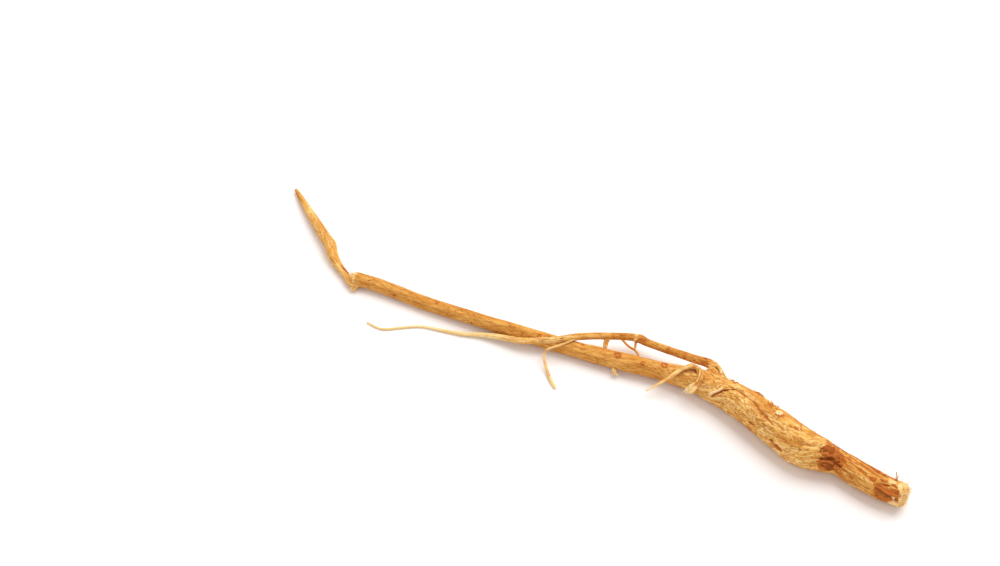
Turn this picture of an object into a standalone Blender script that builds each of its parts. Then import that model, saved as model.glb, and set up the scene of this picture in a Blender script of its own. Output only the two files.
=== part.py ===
"""A dried astragalus root lying on a surface, as one grown piece.

The frame: +X runs along the root from its thin tail to its torn crown, +Y runs away from the side it is
looked at from, +Z is up, and z = 0 is the surface. Lengths in the tables are millimetres.
"""

import math
import random

import bmesh
import bpy
from mathutils import Vector, noise

MM = 0.001

# Driving dimensions. Each station is (x, y, z, radius) on the root's middle line.
# The main root, from the torn crown, over the neck, the swelling and the node, to the cracked kink.
MAIN_ROOT = (
    (134.6, -8.5, 5.1, 4.25),
    (125.0, -8.3, 5.1, 4.60),
    (116.0, -6.7, 5.0, 4.65),
    (110.0, -5.5, 5.0, 4.40),
    (104.0, -6.0, 6.1, 5.80),
    (96.0, -6.1, 6.6, 6.90),
    (86.0, -3.1, 7.0, 6.65),
    (72.0, 1.6, 6.5, 5.90),
    (59.0, 4.6, 5.1, 5.30),
    (50.0, 5.1, 4.6, 4.50),
    (38.0, 4.0, 3.9, 3.50),
    (22.5, 1.5, 3.7, 3.30),
    (5.0, -0.9, 3.3, 2.95),
    (-15.0, -2.8, 3.2, 2.85),
    (-36.0, -4.8, 3.1, 2.65),
    (-57.0, -6.1, 2.4, 2.70),
    (-77.0, -6.8, 2.9, 2.60),
    (-88.0, -8.1, 2.9, 2.60),
)
# The thinner tail, folded back behind the kink, its start inside the main root.
TAIL = (
    (-79.0, -7.3, 2.9, 0.80),
    (-84.0, -8.3, 2.4, 1.25),
    (-87.7, -10.2, 2.0, 1.60),
    (-93.0, -7.3, 2.0, 1.50),
    (-98.8, -4.0, 2.1, 1.75),
    (-103.2, -0.5, 2.6, 2.20),
    (-106.1, 2.8, 2.8, 2.45),
    (-110.3, 5.6, 2.7, 2.30),
    (-123.1, 14.6, 2.2, 1.80),
    (-129.5, 19.3, 1.8, 1.35),
    (-135.9, 24.0, 1.2, 0.70),
)
# Where it folded, the main root's end is torn square, with broken fibres at the hinge.
KINK_PULL = (-0.5, 0.9)
KINK_FIBRES = (
    ((-86.2, -9.9, 1.6), (-88.9, -12.9, 1.1)),
    ((-85.2, -9.6, 2.3), (-86.8, -12.7, 1.9)),
    ((-84.4, -9.0, 1.6), (-84.6, -12.1, 1.0)),
    ((-86.0, -8.6, 4.4), (-89.8, -10.2, 5.0)),
    ((-86.0, -7.0, 4.6), (-89.6, -7.2, 4.4)),
)
KINK_FIBRE_RADIUS = 0.42
# The node's shoulder, which rises from the main root to the side root's torn base.
NODE_SHOULDER = (
    (64.0, 3.2, 5.3, 4.0),
    (60.6, 6.2, 5.3, 4.7),
    (57.4, 9.6, 5.8, 4.1),
    (55.2, 12.0, 6.2, 2.9),
    (54.2, 13.3, 6.4, 2.0),
)
# The long side root: out of the node, beside the main root, over it and along its front.
SIDE_ROOT = (
    (65.0, 6.0, 5.9, 2.30),
    (59.8, 10.9, 6.2, 2.10),
    (54.5, 13.9, 6.5, 1.85),
    (46.0, 13.0, 6.3, 1.55),
    (30.0, 12.4, 6.2, 1.50),
    (25.7, 12.7, 6.2, 1.70),
    (21.5, 11.7, 6.2, 1.35),
    (11.5, 6.8, 6.5, 1.30),
    (5.0, 2.8, 6.9, 1.30),
    (-1.2, -1.4, 6.7, 1.20),
    (-8.0, -4.6, 5.4, 1.15),
    (-15.3, -7.0, 4.0, 1.15),
    (-23.3, -8.1, 2.8, 1.10),
    (-31.0, -9.9, 1.9, 0.85),
    (-38.3, -12.6, 1.4, 0.70),
    (-46.2, -14.3, 1.1, 0.55),
    (-54.0, -16.2, 0.85, 0.45),
    (-60.6, -20.2, 0.7, 0.42),
    (-65.5, -23.4, 0.7, 0.40),
    (-69.0, -24.1, 0.7, 0.38),
    (-73.5, -23.6, 0.7, 0.34),
)
# The rootlet that forks off the side root, crosses the main root and hangs down in front.
FORK_ROOTLET = (
    (6.6, 4.0, 6.9, 0.50),
    (4.2, 1.3, 7.0, 0.45),
    (0.8, -3.0, 6.6, 0.42),
    (-1.5, -5.3, 6.2, 0.42),
    (-3.6, -7.3, 5.6, 0.45),
    (-4.2, -8.6, 4.8, 0.47),
    (-3.3, -10.8, 3.2, 0.50),
    (-1.7, -12.7, 2.2, 0.55),
    (0.3, -14.8, 1.5, 0.58),
    (2.6, -16.9, 1.1, 0.64),
    (5.3, -19.1, 1.0, 0.50),
)
# The hooked rootlet, torn loose at the node and arched over the main root.
HOOKED_ROOTLET = (
    (53.2, 4.4, 8.2, 0.80),
    (51.4, 6.6, 9.9, 0.75),
    (49.1, 7.0, 10.3, 0.67),
    (47.4, 5.6, 10.0, 0.65),
    (45.4, 3.7, 9.2, 0.63),
    (43.5, 0.9, 7.9, 0.62),
    (41.7, -1.1, 6.5, 0.58),
    (39.0, -3.8, 4.6, 0.52),
    (36.6, -6.2, 2.8, 0.38),
)
# Strands of the torn flag of bark beside the hook, side by side and fanned out at their ends.
FLAG_ROOT = (53.4, 4.2, 9.0)
FLAG_BEND = (53.6, 0.6, 8.9)
FLAG_ENDS = ((50.6, -1.6, 7.4), (51.5, -2.8, 6.9), (52.6, -3.4, 6.4), (53.4, -2.6, 6.5))
FLAG_RADIUS = 0.62
# Short stubs and thin rootlets: points from the sunk root to the tip, then the two end radii.
SPUR = (((54.0, 13.6, 7.4), (56.6, 13.9, 8.4), (58.4, 12.2, 8.3), (60.3, 9.4, 7.4)), 0.60, 0.50)
HANGING_STUB = (((14.6, 8.6, 6.3), (14.6, 6.2, 5.4), (15.2, 3.9, 4.6)), 1.10, 0.75)
THIN_ROOTLET = (((18.2, 10.4, 6.1), (22.7, 8.4, 5.2), (26.4, 7.6, 4.8), (29.6, 4.4, 4.9)), 0.45, 0.38)
LOOSE_FIBRE = (((24.3, 12.6, 6.0), (24.9, 10.6, 5.1), (25.4, 8.9, 4.4)), 0.50, 0.40)
FRONT_STUB = (((21.2, 0.4, 3.2), (21.9, -2.3, 2.4), (23.2, -3.9, 2.0)), 0.95, 0.55)
STUBS = (SPUR, HANGING_STUB, THIN_ROOTLET, LOOSE_FIBRE, FRONT_STUB)

# Rings and sides of each tube.
MAIN_RING_GAP = 2.5
MAIN_SIDES = 32
TAIL_RING_GAP = 2.1
TAIL_SIDES = 14
SHOULDER_SIDES = 14
SIDE_RING_GAP = 2.1
SIDE_SIDES = 10
ROOTLET_RING_GAP = 1.6
ROOTLET_SIDES = 8
STUB_RING_GAP = 1.3
STUB_SIDES = 7
FIBRE_GAP = 9.0
FIBRE_SIDES = 5

# Relief of the bark, as shares of the radius: lumps, wrinkles drawn out along the root, ribs that follow
# the grain as it sways, and faint bands across. Lengths are along the root, in millimetres.
LUMP = 0.026
LUMP_LENGTHS = (15.0, 8.5)
WRINKLE = 0.17
WRINKLE_LENGTH = 9.0
WRINKLE_WIDTH = 1.9
WRINKLE_MEAN = 0.17
RIB = 0.055
RIB_MOST = 0.28
RIB_FADE = (0.55, 1.3)
RIB_LEAST = 0.1
RIB_FADE_PLACE = Vector((0.0, 0.0, 20.0))
SIDES_PER_RIB = 4
BAND = 0.010
BAND_LENGTHS = (1.9, 11.0)
SWAY = (0.17, 0.09)
SWAY_LENGTHS = (6.5, 2.9)

# The torn crown: wood that stands out of the bark as a ragged dome, with fibres round it.
TORN_WOOD = (
    (127.0, -8.3, 5.1, 3.40),
    (132.5, -8.5, 5.1, 3.75),
    (134.6, -8.5, 5.1, 3.70),
    (135.6, -8.5, 5.1, 2.90),
    (136.3, -8.5, 5.1, 1.60),
)
TORN_WOOD_GAP = 0.9
TORN_WOOD_SIDES = 18
TORN_WOOD_RAGGED = 0.16
TEAR_REACH = 8.0
TEAR_RAGGED = 4.0
CROWN_PULL = (-0.8, 1.8)
CROWN_NOTCH = 2.6
CROWN_NOTCH_ANGLE = math.radians(80.0)
CROWN_NOTCH_WIDTH = 0.45
CROWN_FIBRES = 26
CROWN_FIBRE_RADIUS = 0.38
CROWN_FIBRE_LENGTH = (3.0, 4.4)
CROWN_FIBRE_LEAN = (0.05, 0.34)
CROWN_FIBRE_RINGS = (0.35, 0.80)
CROWN_UPRIGHT_FIBRES = (
    ((130.8, -6.6, 8.0), (129.6, -5.0, 11.8)),
    ((127.6, -6.9, 8.4), (126.6, -5.6, 10.9)),
)

# Scars on the main root: x, angle round it in degrees (0 at the back, 90 on top), size and height.
SCARS = (
    (107.0, 128.0, 2.9, 0.50),
    (103.5, 152.0, 2.0, 0.35),
    (85.0, 78.0, 1.1, 0.45),
    (80.5, 72.0, 1.0, 0.30),
    (74.6, 50.0, 1.3, 0.40),
    (89.2, 188.0, 1.8, -0.35),
    (78.9, 196.0, 1.2, 0.30),
    (39.1, 75.0, 1.4, 0.25),
    (30.5, 95.0, 1.1, 0.25),
    (21.6, 72.0, 1.5, 0.28),
    (-9.0, 110.0, 1.2, 0.25),
    (-52.0, 84.0, 1.1, 0.22),
)

# A raised scar is a ring at this share of its size; a sunk one is a pit.
SCAR_RING = 0.7
SCAR_RING_WIDTH = 0.29
SCAR_PIT_WIDTH = 0.5
SCAR_REACH = 2.5

SEED = 21
GROUND_SIZE = (400.0, 200.0, 4.0)
SLIVER = 0.003
SEGMENT_SAMPLES = 24
SHARP_ANGLE = math.radians(40.0)

COLLECTION = "dried_astragalus_root"
NODE = "astragalus_root"


def clear_scene():
    for obj in list(bpy.data.objects):
        bpy.data.objects.remove(obj, do_unlink=True)


def new_collection(name):
    collection = bpy.data.collections.new(name)
    bpy.context.scene.collection.children.link(collection)
    return collection


def bark_material():
    material = bpy.data.materials.new("astragalus_bark")
    material.use_nodes = True
    shader = material.node_tree.nodes["Principled BSDF"]
    shader.inputs["Base Color"].default_value = (0.72, 0.43, 0.14, 1.0)
    shader.inputs["Roughness"].default_value = 0.62
    shader.inputs["Metallic"].default_value = 0.0
    return material


def spline(a, b, c, d, t):
    """The Catmull-Rom curve between b and c, for tuples of any length."""
    return tuple(
        0.5 * (2 * q + (r - p) * t + (2 * p - 5 * q + 4 * r - s) * t**2 + (3 * q - p - 3 * r + s) * t**3)
        for p, q, r, s in zip(a, b, c, d)
    )


def smooth_line(stations, gap):
    """Even steps of about gap along the smooth curve through the stations, as (point, radius)."""
    padded = (stations[0],) + tuple(stations) + (stations[-1],)
    dense = []
    for i in range(len(stations) - 1):
        for k in range(SEGMENT_SAMPLES):
            dense.append(spline(*padded[i : i + 4], k / SEGMENT_SAMPLES))
    dense.append(stations[-1])
    lengths = [0.0]
    for a, b in zip(dense, dense[1:]):
        lengths.append(lengths[-1] + math.dist(a[:3], b[:3]))
    steps = max(2, round(lengths[-1] / gap))
    line = []
    at = 0
    for i in range(steps + 1):
        goal = lengths[-1] * i / steps
        while at < len(dense) - 2 and lengths[at + 1] < goal:
            at += 1
        share = (goal - lengths[at]) / (lengths[at + 1] - lengths[at])
        mixed = [a + (b - a) * share for a, b in zip(dense[at], dense[at + 1])]
        line.append((Vector(mixed[:3]), mixed[3]))
    return line


def tangent_at(line, i):
    ahead = line[min(i + 1, len(line) - 1)][0]
    behind = line[max(i - 1, 0)][0]
    return (ahead - behind).normalized()


def level_frames(line):
    """For a root that lies flat: directions to its back and its top at each ring."""
    frames = []
    for i in range(len(line)):
        tangent = tangent_at(line, i)
        back = tangent.cross(Vector((0, 0, 1))).normalized()
        frames.append((back, back.cross(tangent)))
    return frames


def carried_frames(line):
    """For a rootlet that twists in space: two directions across it, carried along without a spin."""
    tangent = tangent_at(line, 0)
    across = tangent.orthogonal().normalized()
    frames = []
    for i in range(len(line)):
        following = tangent_at(line, i)
        across = tangent.rotation_difference(following) @ across
        across = (across - following * across.dot(following)).normalized()
        tangent = following
        frames.append((across, tangent.cross(across)))
    return frames


def bell(share):
    """A smooth hump, 1 in the middle and near 0 past 2.5."""
    return math.exp(-0.5 * share * share)


def grain_sway(x):
    """How far the grain turns round the root at x, in radians."""
    return sum(turn * math.sin(x / length) for turn, length in zip(SWAY, SWAY_LENGTHS))


def plain_relief(point, angle, radius, ribs):
    return radius


def bark_relief(point, angle, radius, ribs):
    """Lumps, rounded wrinkles with sharp creases between them, ribs and faint bands across."""
    x = point.x
    lumps = math.sin(2 * angle + x / LUMP_LENGTHS[0]) + 0.7 * math.sin(3 * angle - x / LUMP_LENGTHS[1] + 1.3)
    across = radius / WRINKLE_WIDTH
    place = Vector((x / WRINKLE_LENGTH, across * math.cos(angle), across * math.sin(angle)))
    wrinkles = abs(noise.noise(place)) - WRINKLE_MEAN
    fading = RIB_FADE[0] + RIB_FADE[1] * noise.noise(place + RIB_FADE_PLACE)
    rib = min(RIB * radius, RIB_MOST) * math.cos(ribs * angle) * max(fading, RIB_LEAST)
    bands = math.sin(x / BAND_LENGTHS[0] + math.sin(2 * angle)) * math.sin(x / BAND_LENGTHS[1])
    return radius * (1.0 + LUMP * lumps + WRINKLE * wrinkles + BAND * bands) + rib


def scarred_relief(point, angle, radius, ribs):
    """The bark of the main root, with the marks that lost rootlets and buds left."""
    grown = bark_relief(point, angle, radius, ribs)
    turned = angle + grain_sway(point.x)
    for x, degrees, size, height in SCARS:
        around = math.remainder(turned - math.radians(degrees), math.tau) * radius
        away = math.hypot(point.x - x, around) / size
        if away < SCAR_REACH:
            raised = height > 0
            grown += height * bell((away - SCAR_RING) / SCAR_RING_WIDTH if raised else away / SCAR_PIT_WIDTH)
    return grown


def torn_relief(point, angle, radius, ribs):
    """Splintered wood: ridges along the grain that differ round the end."""
    splinters = math.sin(7 * angle) + math.sin(5 * angle + 2.2 * point.x) + math.sin(3 * angle + 1.1)
    return radius * (1.0 + TORN_WOOD_RAGGED / 2 * splinters)


def tube(name, stations, gap, sides, frames_of, relief, collection):
    """A closed rod of rings along the stations, with the relief raised from its surface.

    Each cap is a fan round its middle vertex, whose share of the radius is 0.
    """
    line = smooth_line(stations, gap)
    frames = frames_of(line)
    last = len(line) - 1
    mesh = bmesh.new()
    bmesh.ops.create_cone(
        mesh, cap_ends=True, cap_tris=True, segments=sides, radius1=1.0, radius2=1.0, depth=float(last)
    )
    long_edges = [edge for edge in mesh.edges if abs(edge.verts[0].co.z - edge.verts[1].co.z) > 0.5]
    bmesh.ops.subdivide_edges(mesh, edges=long_edges, cuts=last - 1, use_grid_fill=True)
    for vertex in mesh.verts:
        ring = round(vertex.co.z + last / 2)
        angle = math.atan2(vertex.co.y, vertex.co.x)
        centre, radius = line[ring]
        back, top = frames[ring]
        share = math.hypot(vertex.co.x, vertex.co.y)
        reach = share * relief(centre, angle, radius, sides // SIDES_PER_RIB)
        turned = angle + grain_sway(centre.x)
        vertex.co = (centre + (back * math.cos(turned) + top * math.sin(turned)) * reach) * MM
    bmesh.ops.recalc_face_normals(mesh, faces=mesh.faces)
    return finish(name, mesh, collection)


def finish(name, mesh, collection):
    data = bpy.data.meshes.new(name)
    mesh.to_mesh(data)
    mesh.free()
    obj = bpy.data.objects.new(name, data)
    collection.objects.link(obj)
    return obj


def tear_end(root, end, inner, pull, notch):
    """Pulls the bark at an end back unevenly, with a notch where it broke away on top."""
    end = Vector(end[:3])
    outward = (end - Vector(inner[:3])).normalized()
    for vertex in root.data.vertices:
        local = vertex.co / MM - end
        share = 1.0 + local.dot(outward) / TEAR_REACH
        if share <= 0.0:
            continue
        angle = math.atan2(local.z, local.y)
        place = Vector((math.cos(angle), math.sin(angle), 0.0)) * TEAR_RAGGED
        mixed = 0.5 + 0.5 * noise.noise(place)
        away = math.remainder(angle - CROWN_NOTCH_ANGLE, math.tau)
        drawn_back = pull[0] + (pull[1] - pull[0]) * mixed + notch * bell(away / CROWN_NOTCH_WIDTH)
        vertex.co -= outward * min(share, 1.0) * drawn_back * MM


def strand(name, points, start_radius, end_radius, gap, sides, collection):
    """A short tapering tube through a few points."""
    steps = len(points) - 1
    stations = [
        (*point, start_radius + (end_radius - start_radius) * i / steps) for i, point in enumerate(points)
    ]
    return tube(name, stations, gap, sides, carried_frames, plain_relief, collection)


def crown_fibres(collection):
    """Torn fibres standing out of the crown's end, their roots sunk in the wood."""
    draw = random.Random(SEED)
    x, y, z, radius = TORN_WOOD[1]
    for i in range(CROWN_FIBRES):
        angle = math.tau * (i + draw.uniform(-0.3, 0.3)) / CROWN_FIBRES
        ring = radius * CROWN_FIBRE_RINGS[i % 3 > 0]
        foot = Vector((x - 0.6, y + ring * math.cos(angle), z + ring * math.sin(angle)))
        lean = draw.uniform(*CROWN_FIBRE_LEAN)
        along = Vector((1.0, lean * math.cos(angle), lean * math.sin(angle)))
        tip = foot + along * draw.uniform(*CROWN_FIBRE_LENGTH)
        fibre(foot, tip, CROWN_FIBRE_RADIUS, collection)
    for foot, tip in CROWN_UPRIGHT_FIBRES:
        fibre(foot, tip, CROWN_FIBRE_RADIUS, collection)


def fibre(foot, tip, radius, collection):
    strand("fibre", (foot, tip), radius, 0.4 * radius, FIBRE_GAP, FIBRE_SIDES, collection)


def rootlets(collection):
    """Everything that grows out of the main root, ready to be joined to it."""
    tube("tail", TAIL, TAIL_RING_GAP, TAIL_SIDES, level_frames, bark_relief, collection)
    tube("torn_wood", TORN_WOOD, TORN_WOOD_GAP, TORN_WOOD_SIDES, level_frames, torn_relief, collection)
    tube("shoulder", NODE_SHOULDER, SIDE_RING_GAP, SHOULDER_SIDES, level_frames, bark_relief, collection)
    tube("side_root", SIDE_ROOT, SIDE_RING_GAP, SIDE_SIDES, level_frames, bark_relief, collection)
    for name, stations in (("fork_rootlet", FORK_ROOTLET), ("hooked_rootlet", HOOKED_ROOTLET)):
        tube(name, stations, ROOTLET_RING_GAP, ROOTLET_SIDES, carried_frames, plain_relief, collection)
    for end in FLAG_ENDS:
        points = (FLAG_ROOT, FLAG_BEND, end)
        strand("flag_strand", points, FLAG_RADIUS, 0.7 * FLAG_RADIUS, STUB_RING_GAP, STUB_SIDES, collection)
    for points, start_radius, end_radius in STUBS:
        strand("stub", points, start_radius, end_radius, STUB_RING_GAP, STUB_SIDES, collection)
    crown_fibres(collection)
    for foot, tip in KINK_FIBRES:
        fibre(foot, tip, KINK_FIBRE_RADIUS, collection)


def ground_cutter(collection):
    """Takes the low spots off level, so that the root rests on three small flats."""
    mesh = bmesh.new()
    bmesh.ops.create_cube(mesh, size=1.0)
    bmesh.ops.scale(mesh, vec=Vector(GROUND_SIZE) * MM, verts=mesh.verts)
    bmesh.ops.translate(mesh, vec=Vector((0.0, 0.0, -GROUND_SIZE[2] / 2)) * MM, verts=mesh.verts)
    cutter = finish("ground_cutter", mesh, collection)
    cutter.hide_render = True
    cutter.display_type = "WIRE"
    return cutter


def apply_boolean(obj, operation, **operand):
    modifier = obj.modifiers.new(operation.lower(), "BOOLEAN")
    modifier.operation = operation
    modifier.solver = "EXACT"
    for key, value in operand.items():
        setattr(modifier, key, value)
    graph = bpy.context.evaluated_depsgraph_get()
    joined = bpy.data.meshes.new_from_object(obj.evaluated_get(graph))
    obj.modifiers.clear()
    obj.data = joined


def clean(data):
    """Dissolves the slivers that the joining left."""
    mesh = bmesh.new()
    mesh.from_mesh(data)
    bmesh.ops.triangulate(mesh, faces=mesh.faces)
    bmesh.ops.dissolve_degenerate(mesh, dist=SLIVER * MM, edges=mesh.edges)
    mesh.to_mesh(data)
    mesh.free()


def main():
    clear_scene()
    parts = new_collection(COLLECTION)
    joined = new_collection("rootlets")
    cutters = new_collection("cutters")
    root = tube(NODE, MAIN_ROOT, MAIN_RING_GAP, MAIN_SIDES, level_frames, scarred_relief, parts)
    tear_end(root, MAIN_ROOT[0], MAIN_ROOT[1], CROWN_PULL, CROWN_NOTCH)
    tear_end(root, MAIN_ROOT[-1], MAIN_ROOT[-2], KINK_PULL, 0.0)
    rootlets(joined)
    apply_boolean(root, "UNION", operand_type="COLLECTION", collection=joined)
    for obj in list(joined.objects):
        bpy.data.objects.remove(obj, do_unlink=True)
    bpy.data.collections.remove(joined)
    apply_boolean(root, "DIFFERENCE", object=ground_cutter(cutters))
    clean(root.data)
    root.data.name = NODE
    root.data.materials.clear()
    root.data.materials.append(bark_material())
    root.data.shade_smooth()
    root.data.set_sharp_from_angle(angle=SHARP_ANGLE)


main()
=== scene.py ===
"""The looks of a dried astragalus root: wrinkled bark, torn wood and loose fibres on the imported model.

+X runs along the root to its torn crown, +Y runs away from the side that the photograph shows, and z = 0
is the surface that it lies on. Lengths in the tables are millimetres in that frame.
"""

import math
import random

import bpy
import numpy as np
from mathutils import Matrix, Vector, noise


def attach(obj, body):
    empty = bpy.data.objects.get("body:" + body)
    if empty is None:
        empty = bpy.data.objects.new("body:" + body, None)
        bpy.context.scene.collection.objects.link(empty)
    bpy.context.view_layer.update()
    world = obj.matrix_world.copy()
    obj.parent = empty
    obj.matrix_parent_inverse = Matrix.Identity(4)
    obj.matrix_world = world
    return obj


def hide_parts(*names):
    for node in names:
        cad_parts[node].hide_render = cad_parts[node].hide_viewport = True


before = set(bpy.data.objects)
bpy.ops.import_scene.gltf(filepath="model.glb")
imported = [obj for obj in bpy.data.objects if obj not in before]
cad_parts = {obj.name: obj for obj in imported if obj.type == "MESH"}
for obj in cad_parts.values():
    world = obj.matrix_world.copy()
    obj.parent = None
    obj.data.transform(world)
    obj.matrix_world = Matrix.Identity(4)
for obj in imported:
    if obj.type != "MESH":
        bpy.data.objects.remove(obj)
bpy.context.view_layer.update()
NODE = "astragalus_root"
MM = 0.001

# Camera
# It looks down on the lying root from its front right, as the photograph does, with the crown at the
# lower right and the tail at the upper left.
AIM = Vector((-36.6, 18.04, 0.0)) * MM
VIEW_AZIMUTH = math.radians(26.887)
VIEW_ELEVATION = math.radians(50.0)
VIEW_DISTANCE = 553.39 * MM
FOCAL_LENGTH = 50.0

looking = Vector(
    (
        -math.sin(VIEW_AZIMUTH) * math.cos(VIEW_ELEVATION),
        math.cos(VIEW_AZIMUTH) * math.cos(VIEW_ELEVATION),
        -math.sin(VIEW_ELEVATION),
    )
)
bpy.ops.object.camera_add(
    location=AIM - looking * VIEW_DISTANCE, rotation=looking.to_track_quat("-Z", "Y").to_euler()
)
camera = bpy.context.object
camera.name = "camera"
camera.data.lens = FOCAL_LENGTH
camera.data.clip_start = 0.01
bpy.context.scene.camera = camera

# Surface and light
# The root lies on a plain white surface. A large soft lamp stands high behind it, so that its soft shadows
# fall towards the viewer. Two weaker lamps and the white room fill them with a warm light.
SURFACE_SIZE = 6.0
SURFACE_DEPTH = 0.05 * MM
LAMPS = (
    ("soft_lamp_behind", (0.10, 0.52, 0.78), 0.90, 9.6, (1.0, 0.985, 0.96)),
    ("soft_lamp_left", (-0.80, -0.30, 0.60), 0.70, 1.3, (1.0, 0.97, 0.94)),
    ("soft_lamp_front", (0.45, -0.75, 0.45), 0.80, 1.6, (1.0, 0.96, 0.93)),
)
ROOM_COLOUR = (1.0, 0.93, 0.93, 1.0)
ROOM_STRENGTH = 0.56
SURFACE_COLOUR = (0.93, 0.925, 0.92, 1.0)


def new_material(name, specular, roughness=0.5):
    """A plain material, its node tree and its shader."""
    material = bpy.data.materials.new(name)
    material.use_nodes = True
    shader = material.node_tree.nodes["Principled BSDF"]
    shader.inputs["Specular IOR Level"].default_value = specular
    shader.inputs["Roughness"].default_value = roughness
    return material, material.node_tree, shader


bpy.ops.mesh.primitive_plane_add(size=SURFACE_SIZE, location=(0.0, 0.0, -SURFACE_DEPTH))
surface = bpy.context.object
surface.name = surface.data.name = "white_surface"
paper, _, paper_shader = new_material("white_surface", 0.1, 0.9)
paper_shader.inputs["Base Color"].default_value = SURFACE_COLOUR
surface.data.materials.append(paper)

for name, place, size, power, colour in LAMPS:
    towards_aim = AIM - Vector(place)
    bpy.ops.object.light_add(
        type="AREA", location=place, rotation=towards_aim.to_track_quat("-Z", "Y").to_euler()
    )
    lamp = bpy.context.object
    lamp.name = name
    lamp.data.size = size
    lamp.data.energy = power
    lamp.data.color = colour

room = bpy.data.worlds.new("white_room")
room.use_nodes = True
room.node_tree.nodes["Background"].inputs["Color"].default_value = ROOM_COLOUR
room.node_tree.nodes["Background"].inputs["Strength"].default_value = ROOM_STRENGTH
bpy.context.scene.world = room
bpy.context.scene.view_settings.view_transform = "Standard"

# Bark of the main root
# One tube of dry straw-coloured bark runs from the torn crown, over the neck, the swelling and the node, to
# the end that cracked when the root folded. It shrank as it dried, into wavy creases along its grain.
MAIN_ROOT = (
    (134.6, -8.5, 5.1, 4.25),
    (125.0, -8.3, 5.1, 4.60),
    (116.0, -6.7, 5.0, 4.65),
    (110.0, -5.5, 5.0, 4.40),
    (104.0, -6.0, 6.1, 5.80),
    (96.0, -6.1, 6.6, 6.90),
    (86.0, -3.1, 7.0, 6.65),
    (72.0, 1.6, 6.5, 5.90),
    (59.0, 4.6, 5.1, 5.30),
    (50.0, 5.1, 4.6, 4.50),
    (38.0, 4.0, 3.9, 3.50),
    (22.5, 1.5, 3.7, 3.30),
    (5.0, -0.9, 3.3, 2.95),
    (-15.0, -2.8, 3.2, 2.85),
    (-36.0, -4.8, 3.1, 2.65),
    (-57.0, -6.1, 2.4, 2.70),
    (-77.0, -6.8, 2.9, 2.60),
    (-88.0, -8.1, 2.9, 2.60),
)
MAIN_RING_GAP = 0.45
MAIN_SIDES = 176
MAIN_RIBS = 8
SEGMENT_SAMPLES = 60

# Lumps, wrinkles, ribs and bands that the solid has too, the wrinkles and ribs a little softer here.
LUMP = 0.022
LUMP_LENGTHS = (15.0, 8.5)
LUMP_SHARES = (1.0, 0.7)
LUMP_PHASE = 1.3
WRINKLE = 0.075
WRINKLE_LENGTH = 9.0
WRINKLE_WIDTH = 1.9
WRINKLE_MEAN = 0.17
RIB = 0.030
RIB_MOST = 0.15
RIB_FADE = (0.55, 1.3)
RIB_LEAST = 0.1
RIB_FADE_PLACE = Vector((0.0, 0.0, 20.0))
BAND = 0.010
BAND_LENGTHS = (1.9, 11.0)
SWAY = (0.17, 0.09)
SWAY_LENGTHS = (6.5, 2.9)
# Below the neck the grain climbs towards the back of the root.
TWIST = 0.95
TWIST_FROM, TWIST_TO = 82.0, 104.0
STRAIGHT_GRAIN = 0.55
# Where the thin half passes into the node, and the neck into the stub.
THIN_SPAN = (36.0, 64.0)
STUB_SPAN = (106.0, 112.0)

# The fine creases: length, width and depth of each kind, how long they last, and how dark they get.
CREASES = ((3.4, 0.60, 0.20, 5.0, 0.85), (1.9, 0.36, 0.11, 2.6, 0.60))
CREASE_EDGE = 0.14
CREASE_WARP = 0.65
CREASE_WARP_SIZE = (2.6, 1.7)
CREASE_FADE = (-0.30, 0.25)
CREASE_FADE_WIDTH = 2.5
CREASE_FADE_PLACE = 31.0
CREASE_TOP = 0.45
CREASE_MEAN = 0.16
CRACK_DEPTH = 0.30
PIT_SIZE = (1.3, 0.75, 70.0)
PIT_EDGE = (0.52, 0.64)
PIT_DEPTH = 0.22
PIT_DARK = 0.8

# Scars of lost rootlets and buds: x, angle round the root in degrees (0 at the back, 90 on top), size and
# height.
SCARS = (
    (85.0, 80.0, 1.2, 0.40),
    (80.5, 66.0, 1.0, 0.30),
    (92.2, 86.0, 0.8, 0.20),
    (74.6, 46.0, 1.3, 0.35),
    (90.2, 174.0, 1.8, -0.25),
    (78.9, 196.0, 1.2, 0.30),
    (39.2, 84.0, 1.5, 0.25),
    (31.2, 106.0, 0.9, 0.20),
    (21.6, 88.0, 1.5, 0.28),
    (7.6, 74.0, 0.8, 0.15),
    (-9.0, 110.0, 1.0, 0.15),
    (-52.0, 84.0, 1.0, 0.15),
)
SCAR_RING = 0.7
SCAR_RING_WIDTH = 0.29
SCAR_PIT_WIDTH = 0.5
SCAR_REACH = 2.5
SCAR_RUST = 0.78

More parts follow.
